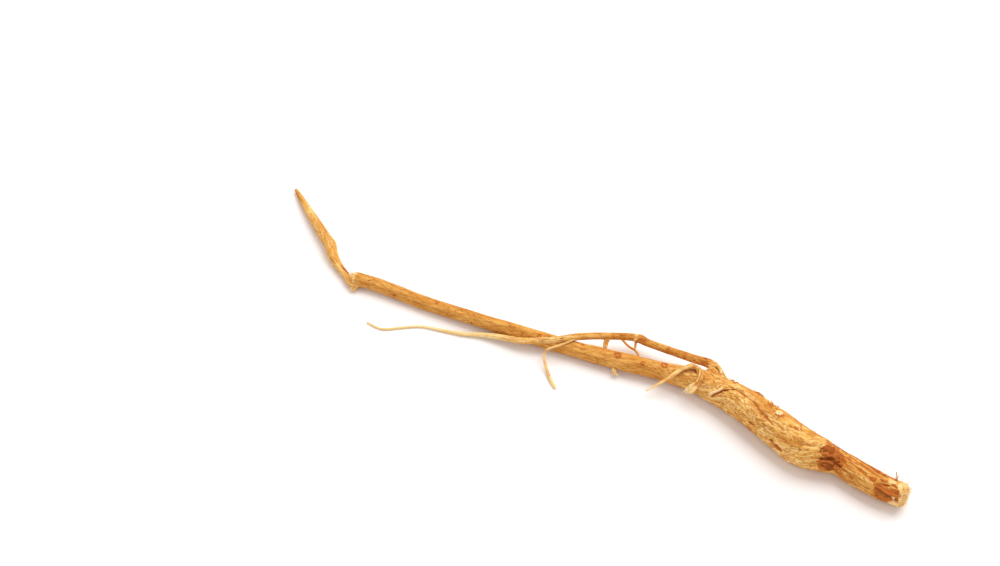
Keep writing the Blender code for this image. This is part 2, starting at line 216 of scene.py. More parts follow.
# Stains on the bark: x, angle in degrees, half length along the root, half width round it, strength.
STAIN_REACH = 2.2
STAIN_EDGE = (0.55, 1.25)
STAIN_RAGGED = 0.35
STAIN_RAGGED_SIZE = (2.4, 0.8)
RUST_STAINS = (
    (105.6, 108.0, 3.0, 2.9, 1.0),
    (109.6, 104.0, 3.2, 2.6, 0.85),
    (106.5, 150.0, 3.6, 3.2, 0.95),
    (110.4, 132.0, 2.6, 1.6, 0.9),
    (113.4, 118.0, 2.0, 0.8, 0.6),
    (112.0, 166.0, 3.6, 1.6, 0.55),
    (106.0, 66.0, 3.2, 2.6, 0.6),
    (112.5, 84.0, 2.4, 0.9, 0.6),
    (116.9, 152.0, 1.7, 0.8, 0.7),
    (118.9, 105.0, 2.6, 0.7, 0.65),
    (123.4, 110.0, 1.4, 1.0, 0.95),
    (126.9, 97.0, 2.0, 0.75, 1.0),
    (126.6, 124.0, 2.3, 1.1, 1.0),
    (128.4, 142.0, 4.0, 2.0, 1.0),
    (131.8, 146.0, 3.2, 2.4, 1.0),
    (128.6, 168.0, 3.8, 2.2, 0.85),
    (132.8, 128.0, 1.9, 1.7, 0.9),
    (88.4, 168.0, 1.5, 0.9, 0.95),
    (91.2, 175.0, 1.8, 0.9, 1.0),
    (96.5, 206.0, 1.0, 0.7, 0.8),
    (79.2, 163.0, 1.2, 0.8, 0.65),
    (85.4, 80.0, 2.0, 2.0, 0.50),
    (80.5, 64.0, 1.6, 1.5, 0.75),
    (92.2, 86.0, 1.2, 0.9, 0.60),
    (74.6, 44.0, 1.9, 1.6, 0.70),
    (64.8, 44.0, 1.6, 1.4, 0.65),
    (39.2, 84.0, 1.4, 1.3, 0.30),
    (31.6, 112.0, 0.7, 1.5, 0.55),
    (21.6, 90.0, 1.4, 1.4, 0.45),
    (7.6, 74.0, 1.0, 0.8, 0.6),
    (-9.0, 110.0, 1.2, 1.2, 0.4),
    (-21.0, 96.0, 2.6, 1.0, 0.35),
    (-43.5, 118.0, 0.5, 1.3, 0.55),
    (-52.0, 84.0, 1.2, 1.2, 0.35),
)
DARK_SPOTS = (
    (106.2, 127.0, 1.3, 0.75, 1.0),
    (105.6, 143.0, 0.5, 0.4, 0.6),
    (112.6, 128.0, 0.5, 0.35, 0.6),
    (126.0, 125.0, 1.4, 0.50, 0.45),
    (126.6, 97.0, 1.1, 0.40, 0.40),
    (124.0, 106.0, 0.6, 0.40, 0.40),
    (88.0, 166.0, 0.60, 0.35, 0.95),
    (88.9, 171.0, 0.50, 0.30, 0.90),
    (90.6, 175.0, 0.80, 0.30, 0.60),
    (92.1, 178.0, 0.60, 0.30, 0.85),
    (81.0, 66.0, 0.45, 0.35, 0.60),
    (39.6, 80.0, 0.45, 0.35, 0.60),
    (31.8, 104.0, 0.35, 0.35, 0.60),
    (21.2, 84.0, 0.50, 0.35, 0.70),
    (22.4, 96.0, 0.40, 0.35, 0.60),
    (-15.8, 134.0, 0.60, 0.40, 0.60),
    (-25.7, 184.0, 0.70, 0.45, 0.85),
    (-36.3, 172.0, 0.60, 0.40, 0.85),
    (-39.0, 172.0, 0.45, 0.35, 0.65),
    (-44.9, 150.0, 0.40, 0.35, 0.50),
    (-63.3, 154.0, 0.55, 0.40, 0.70),
    (-69.6, 160.0, 0.55, 0.40, 0.75),
    (-81.5, 114.0, 0.45, 0.35, 0.60),
)
PALE_SPOTS = (
    (80.9, 58.0, 0.6, 0.5, 0.8),
    (106.8, 104.0, 0.45, 0.40, 0.45),
    (131.0, 79.0, 2.8, 1.4, 0.62),
    (132.6, 198.0, 2.8, 2.8, 0.62),
    (134.0, 172.0, 0.9, 2.4, 0.55),
    (89.4, 168.0, 0.7, 0.30, 0.6),
)
# Ridges and grooves that cross the bark, height below 0 for a groove: half width, height, how rusty, how pale
# and how dark, and then x and degrees at points along each.
BARK_LINES = (
    # the crack across the node, its dark partly the splinter's painted shadow, the ochre furrow that it runs
    # out in, and the splinter that lifted beside it
    (0.24, -0.42, 1.0, 0.0, 0.70, ((61.0, 161), (62.3, 141), (63.7, 125), (65.4, 107), (67.8, 88))),
    (0.34, -0.24, 0.55, 0.0, 0.0, ((65.4, 90), (72.6, 92), (75.7, 98), (81.1, 112), (86.5, 122))),
    (0.42, 0.42, 0.0, 0.72, 0.0, ((60.0, 156), (60.8, 145), (61.9, 133), (63.0, 120), (63.7, 106))),
    # the neck: a bud scar's swollen rim, a second rim under it, and the creases between and beside them
    (0.62, 0.95, 1.0, 0.0, 0.0, ((105.3, 120), (103.9, 116), (103.5, 105), (104.5, 95), (106.0, 90))),
    (0.62, 0.85, 1.0, 0.0, 0.0, ((105.2, 92), (107.4, 92), (108.3, 102), (107.2, 112), (105.6, 116))),
    (0.55, -0.35, 0.5, 0.0, 0.0, ((105.2, 108), (106.4, 103))),
    (0.50, 0.70, 0.9, 0.0, 0.0, ((104.0, 152), (104.6, 144), (106.2, 138), (107.7, 142), (107.4, 152))),
    (0.45, 0.60, 0.8, 0.0, 0.0, ((104.2, 168), (106.0, 160), (108.4, 158), (111.0, 162))),
    (0.48, 0.55, 0.9, 0.0, 0.0, ((109.4, 112), (111.0, 104), (113.2, 102))),
    (0.30, -0.70, 0.9, 0.0, 1.00, ((103.4, 142), (104.8, 132), (106.4, 127), (107.8, 124))),
    (0.28, -0.55, 0.9, 0.0, 0.90, ((107.2, 134), (109.0, 129), (110.8, 121))),
    (0.28, -0.50, 0.9, 0.0, 0.85, ((107.8, 142), (110.2, 135), (112.8, 138))),
    (0.22, -0.40, 0.8, 0.0, 0.80, ((104.6, 148), (106.2, 147), (108.6, 149))),
    (0.22, -0.40, 0.8, 0.0, 0.75, ((104.2, 160), (107.5, 166), (110.0, 165))),
    (0.22, -0.35, 0.8, 0.0, 0.70, ((102.9, 122), (102.6, 110), (103.4, 98), (104.6, 88))),
    (0.22, 0.35, 0.0, 0.8, 0.0, ((104.0, 135), (105.0, 130))),
    # rusty stripes along the stub
    (0.50, 0.06, 0.75, 0.0, 0.10, ((106.0, 46), (110.3, 44), (113.7, 46), (117.0, 48), (121.0, 50))),
    (0.36, -0.10, 0.65, 0.0, 0.10, ((111.3, 66), (115.5, 73), (119.1, 77), (122.0, 80))),
    (0.30, -0.10, 0.55, 0.0, 0.00, ((113.5, 96), (117.0, 100), (121.5, 100))),
    (0.28, -0.10, 0.50, 0.0, 0.00, ((111.0, 150), (114.5, 140), (119.0, 138), (122.5, 140))),
    (0.55, 0.12, 1.0, 0.0, 0.50, ((120.0, 50), (122.7, 58), (125.4, 62), (128.8, 62))),
    # where bark broke away along the crown
    (0.26, -0.35, 0.9, 0.0, 0.45, ((126.4, 112), (128.4, 112), (130.8, 100), (134.2, 100))),
    (0.24, -0.22, 0.7, 0.0, 0.25, ((125.0, 136), (128.4, 134), (133.6, 130))),
    (0.22, -0.18, 0.6, 0.0, 0.20, ((126.0, 156), (130.0, 152), (134.0, 150))),
)
LINE_REACH = 3.64
LINE_ROOM = 1.5
LINE_UNEVEN = 0.8
LINE_UNEVEN_SIZE = 1.1
LINE_UNEVEN_RISE = 0.5
LINE_APART = 40.0
LINE_TAPER = (0.25, 6.0)
LINE_STRENGTH = 1.2
# Above this furrow the swelling's bark is smoother and more even in colour: its x and degrees at each end.
UPPER_BAND = ((64.0, 84.0), (86.0, 112.0))
UPPER_EDGE = (-0.30, 0.12)
UPPER_START = (58.0, 66.0)
UPPER_END = (96.0, 104.0)
STUB_SMOOTH, THIN_SMOOTH, UPPER_SMOOTH = 0.40, 0.55, 0.50
# The neck's knobs and the fine specks of its stains.
NECK_PLACE = 107.5
NECK_HALF = 2.8
KNOB_HEIGHT = 0.60
KNOB_SIZE = (1.2, 0.8, 5.0)
SPECK_SIZE = (0.55, 0.5, 9.0)
STAIN_DEPTH = 0.30
PATCH_SIZE = (14.0, 4.0)
# Where painted shade darkens the upper back: its angle in degrees, and its half width in radians.
SHADED_UPPER_BACK = 52.0
SHADED_UPPER_BACK_HALF = 0.50
# How ochre the bark is: all over, in patches, along the upper back as painted shade, and above the furrow.
OCHRE_SHARES = (0.10, 0.80, 0.20, 0.22)
# How tan the thin half and the stub are, and how much the thin half's and the upper band's cracks fade.
THIN_TAN, STUB_TAN = 0.90, 0.45
THIN_FADE, UPPER_FADE = 0.45, 0.55
# How the specks break up the rust of stains and scars, and how dark they are in the scars.
STAIN_SPECKS, SCAR_SPECKS = 0.9, 1.3
SCAR_DARK = 0.75
SCAR_DARK_EDGE = (0.12, 0.35)

# How far the bark is drawn back at each torn end, and the notch where it broke away on top of the crown.
TEAR_REACH = 8.0
TEAR_RAGGED = 4.0
CROWN_PULL = (-0.9, 0.9)
CROWN_NOTCH = 2.4
CROWN_NOTCH_ANGLE = math.radians(80.0)
CROWN_NOTCH_WIDTH = 0.45
KINK_PULL = (-0.3, 0.4)
FINE_TEAR = 0.45
FINE_TEAR_RAGGED = 11.0
LIP = ((1.6, 0.55), (0.5, 0.84))
TORN_RIM_ANGLE = math.radians(75.0)
RIM_HALF = 0.7
RIM_PALE = 0.8
SEAM_GAP = 0.001 * MM


def spline(a, b, c, d, t):
    """The Catmull-Rom curve between b and c, for tuples of any length."""
    return tuple(
        0.5 * (2 * q + (r - p) * t + (2 * p - 5 * q + 4 * r - s) * t**2 + (3 * q - p - 3 * r + s) * t**3)
        for p, q, r, s in zip(a, b, c, d)
    )


def smooth_line(stations, gap):
    """Even steps of about gap along the smooth curve through the stations, as (point, radius)."""
    padded = (stations[0],) + tuple(stations) + (stations[-1],)
    dense = []
    for i in range(len(stations) - 1):
        for k in range(SEGMENT_SAMPLES):
            dense.append(spline(*padded[i : i + 4], k / SEGMENT_SAMPLES))
    dense.append(stations[-1])
    lengths = [0.0]
    for a, b in zip(dense, dense[1:]):
        lengths.append(lengths[-1] + math.dist(a[:3], b[:3]))
    steps = max(2, round(lengths[-1] / gap))
    line = []
    at = 0
    for i in range(steps + 1):
        goal = lengths[-1] * i / steps
        while at < len(dense) - 2 and lengths[at + 1] < goal:
            at += 1
        share = (goal - lengths[at]) / (lengths[at + 1] - lengths[at])
        mixed = [a + (b - a) * share for a, b in zip(dense[at], dense[at + 1])]
        line.append((Vector(mixed[:3]), mixed[3]))
    return line


def tangent_at(line, i):
    ahead = line[min(i + 1, len(line) - 1)][0]
    behind = line[max(i - 1, 0)][0]
    return (ahead - behind).normalized()


def level_frames(line):
    """For a root that lies flat: directions to its back and its top at each ring."""
    frames = []
    for i in range(len(line)):
        tangent = tangent_at(line, i)
        back = tangent.cross(Vector((0, 0, 1))).normalized()
        frames.append((back, back.cross(tangent)))
    return frames


def bell(share):
    """A smooth hump, 1 in the middle and near 0 past 2.5."""
    return math.exp(-0.5 * share * share)


def limited(value):
    return min(max(value, 0.0), 1.0)


def smooth_step(low, high, value):
    share = limited((value - low) / (high - low))
    return share * share * (3.0 - 2.0 * share)


def bark_noise(along, angle, radius, length, width, apart=0.0):
    """Noise on the bark, in patches of about this length and width in millimetres."""
    return noise.noise(
        Vector((along / length, radius * math.cos(angle) / width, radius * math.sin(angle) / width + apart))
    )


def grain_sway(x):
    """How far the grain turns round the root at x, in radians."""
    return sum(turn * math.sin(x / length) for turn, length in zip(SWAY, SWAY_LENGTHS))


def grain_twist(x):
    return TWIST * smooth_step(TWIST_FROM, TWIST_TO, x)


def grain_pace(x):
    """Below 1 where the creases and streaks are drawn out long, on the stub and on thin roots."""
    return 1.0 - STRAIGHT_GRAIN * (1.0 + smooth_step(*STUB_SPAN, x) - smooth_step(*THIN_SPAN, x))


def grown_bark(x, angle, radius, ribs):
    """The larger relief, as the solid has it."""
    lumps = LUMP_SHARES[0] * math.sin(2 * angle + x / LUMP_LENGTHS[0])
    lumps += LUMP_SHARES[1] * math.sin(3 * angle - x / LUMP_LENGTHS[1] + LUMP_PHASE)
    across = radius / WRINKLE_WIDTH
    place = Vector((x / WRINKLE_LENGTH, across * math.cos(angle), across * math.sin(angle)))
    wrinkles = abs(noise.noise(place)) - WRINKLE_MEAN
    fading = RIB_FADE[0] + RIB_FADE[1] * noise.noise(place + RIB_FADE_PLACE)
    rib = min(RIB * radius, RIB_MOST) * math.cos(ribs * angle) * max(fading, RIB_LEAST)
    bands = math.sin(x / BAND_LENGTHS[0] + math.sin(2 * angle)) * math.sin(x / BAND_LENGTHS[1])
    return radius * (1.0 + LUMP * lumps + WRINKLE * wrinkles + BAND * bands) + rib


def fine_creases(along, angle, radius, rough):
    """Height of the fine creases, and how much of a dark crack there is, from 0 to 1."""
    height = 0.0
    crack = 0.0
    round_y = radius * math.cos(angle)
    round_z = radius * math.sin(angle)
    warp = CREASE_WARP * bark_noise(along, angle, radius, *CREASE_WARP_SIZE)
    for length, width, depth, lasting, darkness in CREASES:
        place = Vector((along / length, round_y / width + warp, round_z / width - warp))
        ridge = abs(noise.noise(place))
        broad = CREASE_FADE_WIDTH * width
        there = noise.noise(Vector((along / lasting + CREASE_FADE_PLACE, round_y / broad, round_z / broad)))
        open_crack = 1.0 - smooth_step(0.0, CREASE_EDGE, ridge)
        fading = smooth_step(*CREASE_FADE, there)
        height += rough * depth * (min(ridge, CREASE_TOP) - CREASE_MEAN - CRACK_DEPTH * open_crack * fading)
        crack = max(crack, open_crack * fading * darkness)
    pitted = smooth_step(*PIT_EDGE, bark_noise(along, angle, radius, *PIT_SIZE))
    return height - rough * PIT_DEPTH * pitted, max(crack, PIT_DARK * pitted)


def turn_from(degrees, angle):
    return math.remainder(angle - math.radians(degrees), math.tau)


def scars_at(x, turned, radius):
    """Rings and pits of the scars, as the solid has them, and how rusty they are."""
    grown = 0.0
    rust = 0.0
    for scar_x, degrees, size, height in SCARS:
        if abs(x - scar_x) > SCAR_REACH * size:
            continue
        away = math.hypot(x - scar_x, turn_from(degrees, turned) * radius) / size
        if away < SCAR_REACH:
            raised = height > 0
            ring = bell((away - SCAR_RING) / SCAR_RING_WIDTH if raised else away / SCAR_PIT_WIDTH)
            grown += height * ring
            rust = max(rust, SCAR_RUST * ring)
    return grown, rust


def stain(spots, x, turned, radius):
    """The strongest of the soft-edged spots at a place, its edge broken up along the grain."""
    found = 0.0
    for spot_x, degrees, long, wide, strength in spots:
        along = (x - spot_x) / long
        if abs(along) > STAIN_REACH:
            continue
        away = math.hypot(along, turn_from(degrees, turned) * radius / wide)
        if away < STAIN_REACH:
            place = Vector((x / STAIN_RAGGED_SIZE[0], turned * radius / STAIN_RAGGED_SIZE[1], spot_x))
            away += STAIN_RAGGED * noise.noise(place)
            found = max(found, strength * (1.0 - smooth_step(*STAIN_EDGE, away)))
    return found


line_ranges = [
    (min(x for x, _ in line[-1]) - LINE_ROOM, max(x for x, _ in line[-1]) + LINE_ROOM, *line)
    for line in BARK_LINES
]


def line_offset(points, x, turned, radius):
    """How far a place is from the line through the points, and the share of the line's length there."""
    nearest = (math.inf, 0.0)
    for i, (start, end) in enumerate(zip(points, points[1:])):
        run = (end[0] - start[0], math.radians(end[1] - start[1]) * radius)
        off = (x - start[0], turn_from(start[1], turned) * radius)
        share = limited((off[0] * run[0] + off[1] * run[1]) / (run[0] ** 2 + run[1] ** 2))
        away = math.hypot(off[0] - share * run[0], off[1] - share * run[1])
        nearest = min(nearest, (away, (i + share) / (len(points) - 1)))
    return nearest


def bark_lines_at(x, turned, radius):
    """Height of the ridges and grooves at a place, and how rusty, pale and dark they are."""
    height = 0.0
    marks = [0.0, 0.0, 0.0]
    for low, high, half_width, rise, rust, pale, dark, points in line_ranges:
        if not low < x < high:
            continue
        away, share = line_offset(points, x, turned, radius)
        if away > LINE_REACH * half_width:
            continue
        round_root = turned * radius / LINE_UNEVEN_SIZE
        place = Vector((x / LINE_UNEVEN_SIZE, round_root, half_width * LINE_APART))
        uneven = LINE_UNEVEN * noise.noise(place)
        taper = min(1.0, LINE_TAPER[0] + LINE_TAPER[1] * share * (1.0 - share))
        near = bell(away / (half_width * taper * (1.0 + uneven))) * (1.0 + LINE_UNEVEN_RISE * uneven)
        height += rise * near
        shown = near * LINE_STRENGTH
        marks = [max(mark, min(1.0, amount * shown)) for mark, amount in zip(marks, (rust, pale, dark))]
    return height, *marks


def drawn_back(point, end, inner, pull, notch):
    """How far a point near a torn end is drawn back along the root, in millimetres, and which way."""
    end = Vector(end[:3])
    outward = (end - Vector(inner[:3])).normalized()
    local = point - end
    share = 1.0 + local.dot(outward) / TEAR_REACH
    if share <= 0.0:
        return Vector()
    angle = math.atan2(local.z, local.y)
    ring = Vector((math.cos(angle), math.sin(angle), 0.0))
    mixed = 0.5 + 0.5 * noise.noise(ring * TEAR_RAGGED)
    away = math.remainder(angle - CROWN_NOTCH_ANGLE, math.tau)
    drawn = pull[0] + (pull[1] - pull[0]) * mixed + notch * bell(away / CROWN_NOTCH_WIDTH)
    fine = FINE_TEAR * noise.noise(ring * FINE_TEAR_RAGGED)
    share = min(share, 1.0)
    return outward * -(share * drawn + share**4 * fine)


def roll_tube(name, line, frames, sides, surface_at, marks):
    """Rolls a grid round the line and sews its seam and ends.

    surface_at(ring, along, centre, angle, radius) gives the reach from the line, a shift and the marks.
    """
    rings = len(line) - 1
    places = np.zeros((rings + 1, sides, 3))
    rod = np.zeros((rings + 1, sides, 3))
    painted = {mark: np.zeros((rings + 1, sides)) for mark in marks}
    along = 0.0
    for i in range(rings + 1):
        centre, radius = line[i]
        if i:
            along += (centre - line[i - 1][0]).length * grain_pace(centre.x)
        back, top = frames[i]
        sway = grain_sway(centre.x)
        for j in range(sides):
            angle = math.tau * j / sides
            reach, shift, values = surface_at(i, along, centre, angle, radius)
            turned = angle + sway
            place = centre + (back * math.cos(turned) + top * math.sin(turned)) * reach + shift
            places[i, j] = (place.x, place.y, max(place.z, 0.0))
            grain = angle + grain_twist(centre.x)
            rod[i, j] = (along, radius * math.cos(grain), radius * math.sin(grain))
            for mark, value in zip(marks, values):
                painted[mark][i, j] = value
    bpy.ops.object.select_all(action="DESELECT")
    bpy.ops.mesh.primitive_grid_add(x_subdivisions=rings, y_subdivisions=sides, size=2.0)
    tube = bpy.context.object
    tube.name = tube.data.name = name
    grid = np.zeros(len(tube.data.vertices) * 3)
    tube.data.vertices.foreach_get("co", grid)
    ring_of = np.rint((grid[0::3] + 1.0) / 2.0 * rings).astype(int)
    side_of = np.rint((grid[1::3] + 1.0) / 2.0 * sides).astype(int) % sides
    tube.data.vertices.foreach_set("co", (places[ring_of, side_of] * MM).ravel())
    tube.data.attributes.new("rod", "FLOAT_VECTOR", "POINT").data.foreach_set(
        "vector", rod[ring_of, side_of].ravel()
    )
    for mark in marks:
        tube.data.attributes.new(mark, "FLOAT", "POINT").data.foreach_set(
            "value", painted[mark][ring_of, side_of]
        )
    bpy.ops.object.mode_set(mode="EDIT")
    bpy.ops.mesh.select_all(action="SELECT")
    bpy.ops.mesh.remove_doubles(threshold=SEAM_GAP)
    bpy.ops.mesh.fill_holes(sides=0)
    bpy.ops.mesh.normals_make_consistent(inside=False)
    bpy.ops.object.mode_set(mode="OBJECT")
    bpy.ops.object.shade_smooth_by_angle(angle=TORN_RIM_ANGLE)
    return tube


def with_lips(line):
    """Adds rings that turn in behind the torn rim at each end of the line."""
    ends = []
    for at, inner in ((0, 1), (-1, -2)):
        inward = (line[inner][0] - line[at][0]).normalized()
        ends.append([(line[at][0] + inward * depth, line[at][1] * share) for depth, share in LIP])
    return ends[0] + line + ends[1][::-1]


BARK_MARKS = ("crack", "ochre", "rust", "pale", "dark", "tan")


def main_bark(ring, along, centre, angle, radius):
    x = centre.x
    turned = angle + grain_sway(x)
    grain = angle + grain_twist(x)
    stub = smooth_step(*STUB_SPAN, x)
    thin = 1.0 - smooth_step(*THIN_SPAN, x)
    (band_from, edge_from), (band_to, edge_to) = UPPER_BAND
    band_edge = edge_from + limited((x - band_from) / (band_to - band_from)) * (edge_to - edge_from)
    above = 1.0 - smooth_step(*UPPER_EDGE, turn_from(band_edge, turned))
    above *= smooth_step(*UPPER_START, x) * (1.0 - smooth_step(*UPPER_END, x))
    rough = 1.0 - STUB_SMOOTH * stub - THIN_SMOOTH * thin - UPPER_SMOOTH * above
    rust = stain(RUST_STAINS, x, turned, radius)
    dark = stain(DARK_SPOTS, x, turned, radius)
    height, crack = fine_creases(along, grain, radius, rough)
    specks = bark_noise(x, grain, radius, *SPECK_SIZE)
    knobs = bell((x - NECK_PLACE) / NECK_HALF) * rust * bark_noise(along, grain, radius, *KNOB_SIZE)
    scar_rise, scar_rust = scars_at(x, turned, radius)
    line_rise, line_rust, line_pale, line_dark = bark_lines_at(x, turned, radius)
    height += KNOB_HEIGHT * knobs - STAIN_DEPTH * dark + scar_rise + line_rise
    reach = grown_bark(x, angle, radius, MAIN_RIBS) + height
    lip = ring < len(LIP) or ring > main_rings - len(LIP)
    if lip:
        reach = min(reach, radius)
    point = centre + Vector((0.0, math.cos(turned), math.sin(turned))) * radius
    shift = drawn_back(point, MAIN_ROOT[0], MAIN_ROOT[1], CROWN_PULL, CROWN_NOTCH)
    shift += drawn_back(point, MAIN_ROOT[-1], MAIN_ROOT[-2], KINK_PULL, 0.0)
    # Painted shade: an ochre band along the upper back, darker than the straw around it.
    shaded_upper_back = bell(turn_from(SHADED_UPPER_BACK, turned) / SHADED_UPPER_BACK_HALF)
    ochres = (1.0, bark_noise(x, grain, radius, *PATCH_SIZE), shaded_upper_back, above)
    ochre = sum(share * amount for share, amount in zip(OCHRE_SHARES, ochres))
    rim = sum(bell((x - end[0]) / RIM_HALF) for end in (MAIN_ROOT[0], MAIN_ROOT[-1]))
    pale = max(stain(PALE_SPOTS, x, turned, radius), line_pale, RIM_PALE * min(rim, 1.0), float(lip))
    crack *= (1.0 - THIN_FADE * thin) * (1.0 - UPPER_FADE * above)
    tan = max(THIN_TAN * thin, STUB_TAN * stub)
    rust = max(rust * (1.0 + STAIN_SPECKS * specks), scar_rust * (1.0 + SCAR_SPECKS * specks), line_rust)
    dark = max(dark, line_dark, SCAR_DARK * scar_rust * smooth_step(*SCAR_DARK_EDGE, specks))
    return reach, shift, (crack, limited(ochre), limited(rust), pale, dark, tan)


main_line = with_lips(smooth_line(MAIN_ROOT, MAIN_RING_GAP))
main_rings = len(main_line) - 1
bark = roll_tube("root_bark", main_line, level_frames(main_line), MAIN_SIDES, main_bark, BARK_MARKS)
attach(bark, "root")
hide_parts(NODE)


def put(tree, kind, inputs, **settings):
    """Adds a shader node. An input that is given a socket is linked to it."""
    added = tree.nodes.new("ShaderNode" + kind)
    for name, value in settings.items():
        setattr(added, name, value)
    for name, value in inputs.items():
        if isinstance(value, bpy.types.NodeSocket):
            tree.links.new(value, added.inputs[name])
        else:
            added.inputs[name].default_value = value
    return added


def blend(tree, share, under, over):
    """Mixes two colours. The numbers are the sockets that the mix node has for its share and colours."""
    return put(tree, "Mix", {0: share, 6: under, 7: over}, data_type="RGBA").outputs[2]


def maths(tree, operation, *values):
    return put(tree, "Math", dict(enumerate(values)), operation=operation).outputs["Value"]


def vector_maths(tree, operation, *values):
    return put(tree, "VectorMath", dict(enumerate(values)), operation=operation).outputs["Vector"]


def ramp(tree, value, low, high, most=1.0):
    """A smooth 0 to most as value goes from low to high."""
    return put(
        tree,
        "MapRange",
        {"Value": value, "From Min": low, "From Max": high, "To Max": most},
        interpolation_type="SMOOTHSTEP",
    ).outputs["Result"]


def grain_noise(tree, rod, stretch, detail):
    """Noise on the rod's own coordinates in millimetres, stretched along the grain."""
    scaled = vector_maths(tree, "MULTIPLY", rod, stretch)
    settings = {"Vector": scaled, "Scale": 1.0, "Detail": detail, "Roughness": 0.6}
    return put(tree, "TexNoise", settings).outputs["Fac"]


GRAIN_OUTPUTS = ("Streaks", "Mottle", "Fibre", "Lines", "Specks", "Height")
# Fine lines of two sizes: how each is stretched, its half width, and the stretch of the noise that breaks it.
FINE_LINES = (
    ((0.24, 0.95, 0.95), 0.060, (0.30, 0.55, 0.55)),
    ((0.42, 1.90, 1.90), 0.075, (0.45, 0.80, 0.80)),
)
LINE_GROOVE = -0.35


def root_grain_group():
    """Streaks, mottling, fibres, wavy lines and specks of a dried root, in its own coordinates."""
    group = bpy.data.node_groups.new("root_grain", "ShaderNodeTree")
    group.interface.new_socket("Rod", in_out="INPUT", socket_type="NodeSocketVector")
    for label in GRAIN_OUTPUTS:
        group.interface.new_socket(label, in_out="OUTPUT", socket_type="NodeSocketFloat")
    rod = group.nodes.new("NodeGroupInput").outputs["Rod"]
    made = group.nodes.new("NodeGroupOutput").inputs
    slow = vector_maths(group, "MULTIPLY", rod, (0.30, 0.45, 0.45))
    bends = put(group, "TexNoise", {"Vector": slow, "Scale": 1.0, "Detail": 1.0}).outputs["Color"]
    bends = vector_maths(group, "SUBTRACT", bends, (0.5, 0.5, 0.5))
    wavy = vector_maths(group, "MULTIPLY_ADD", bends, (0.0, 2.2, 2.2), rod)
    streaks = grain_noise(group, wavy, (0.20, 0.95, 0.95), 3.0)
    mottle = grain_noise(group, wavy, (0.10, 0.30, 0.30), 2.0)
    fibre = grain_noise(group, wavy, (0.60, 4.5, 4.5), 2.0)
    specks = grain_noise(group, rod, (1.1, 2.2, 2.2), 1.0)
    drawn = []
    for stretch, half_width, broken_stretch in FINE_LINES:
        middle = maths(group, "SUBTRACT", grain_noise(group, wavy, stretch, 2.0), 0.5)
        middle = maths(group, "ABSOLUTE", middle)
        broken = grain_noise(group, rod, broken_stretch, 1.0)
        near = ramp(group, middle, half_width, 0.008)
        drawn.append(maths(group, "MULTIPLY", near, ramp(group, broken, 0.46, 0.58)))
    lines = maths(group, "MAXIMUM", *drawn)
    height = maths(group, "MULTIPLY_ADD", lines, LINE_GROOVE, maths(group, "ADD", streaks, fibre))
    for label, value in zip(GRAIN_OUTPUTS, (streaks, mottle, fibre, lines, specks, height)):
        group.links.new(value, made[label])
    return group


root_grain = root_grain_group()

STRAW = (0.765, 0.400, 0.090, 1.0)
CREAM = (0.95, 0.660, 0.250, 1.0)
OCHRE = (0.60, 0.245, 0.034, 1.0)
TAN = (0.61, 0.275, 0.052, 1.0)
LINE_BROWN = (0.42, 0.122, 0.011, 1.0)
CRACK_BROWN = (0.20, 0.046, 0.006, 1.0)
RUST = (0.49, 0.124, 0.016, 1.0)
DARK_RUST = (0.23, 0.044, 0.006, 1.0)
BROKEN_BARK = (0.93, 0.72, 0.37, 1.0)


def attribute(tree, name, output="Fac"):
    return put(tree, "Attribute", {}, attribute_name=name).outputs[output]


def grain_of(tree):
    """The outputs of the root's grain, on the piece's own coordinates."""
    grain = put(tree, "Group", {}, node_tree=root_grain)
    tree.links.new(attribute(tree, "rod", "Vector"), grain.inputs["Rod"])
    return grain.outputs


def add_bump(tree, shader, height, strength, distance):
    bump = put(tree, "Bump", {"Height": height, "Strength": strength, "Distance": distance})
    tree.links.new(bump.outputs["Normal"], shader.inputs["Normal"])


def bark_material(name, line_share, crack_share, bump_distance, speck_level=0.68):
    """Straw-coloured bark: light streaks on ridges, ochre patches, brown cracks and rust stains."""
    material, tree, shader = new_material(name, 0.14)
    grain = grain_of(tree)
    streaks = grain["Streaks"]
    fibre = grain["Fibre"]
    crack = attribute(tree, "crack")
    tan = attribute(tree, "tan")
    patches = maths(tree, "ADD", attribute(tree, "ochre"), grain["Mottle"])
    rust = maths(tree, "MULTIPLY", attribute(tree, "rust"), streaks)
    rust_tone = blend(tree, ramp(tree, streaks, 0.36, 0.52), DARK_RUST, RUST)
    rust_tone = blend(tree, ramp(tree, fibre, 0.52, 0.68, 0.40), rust_tone, OCHRE)
    pale_tone = blend(tree, ramp(tree, streaks, 0.40, 0.58), CREAM, BROKEN_BARK)
    colour = blend(
        tree, ramp(tree, streaks, 0.42, 0.62), blend(tree, tan, STRAW, TAN), blend(tree, tan, CREAM, STRAW)
    )
    # each layer over the ones before it: what it follows, from where to where, how strong, and its colour
    for value, low, high, most, tone in (
        (patches, 0.60, 1.30, 0.85, OCHRE),
        (fibre, 0.56, 0.74, 0.30, OCHRE),
        (grain["Lines"], 0.0, 1.0, line_share, LINE_BROWN),
        (grain["Specks"], speck_level, speck_level + 0.06, 0.7, CRACK_BROWN),
        (crack, 0.08, 0.70, crack_share, LINE_BROWN),
        (crack, 0.75, 1.00, 0.6 * crack_share, CRACK_BROWN),
        (rust, 0.10, 0.34, 0.92, rust_tone),
        (attribute(tree, "pale"), 0.25, 0.80, 0.92, pale_tone),
        (attribute(tree, "dark"), 0.15, 0.80, 0.85, DARK_RUST),
    ):
        colour = blend(tree, ramp(tree, value, low, high, most), colour, tone)
    tree.links.new(colour, shader.inputs["Base Color"])
    rough = put(
        tree, "MapRange", {"Value": streaks, "From Min": 0.3, "From Max": 0.7, "To Min": 0.86, "To Max": 0.66}
    )
    tree.links.new(rough.outputs["Result"], shader.inputs["Roughness"])
    add_bump(tree, shader, grain["Height"], 0.7, bump_distance)
    return material


bark.data.materials.append(bark_material("straw_bark", 0.70, 0.82, 0.16 * MM))

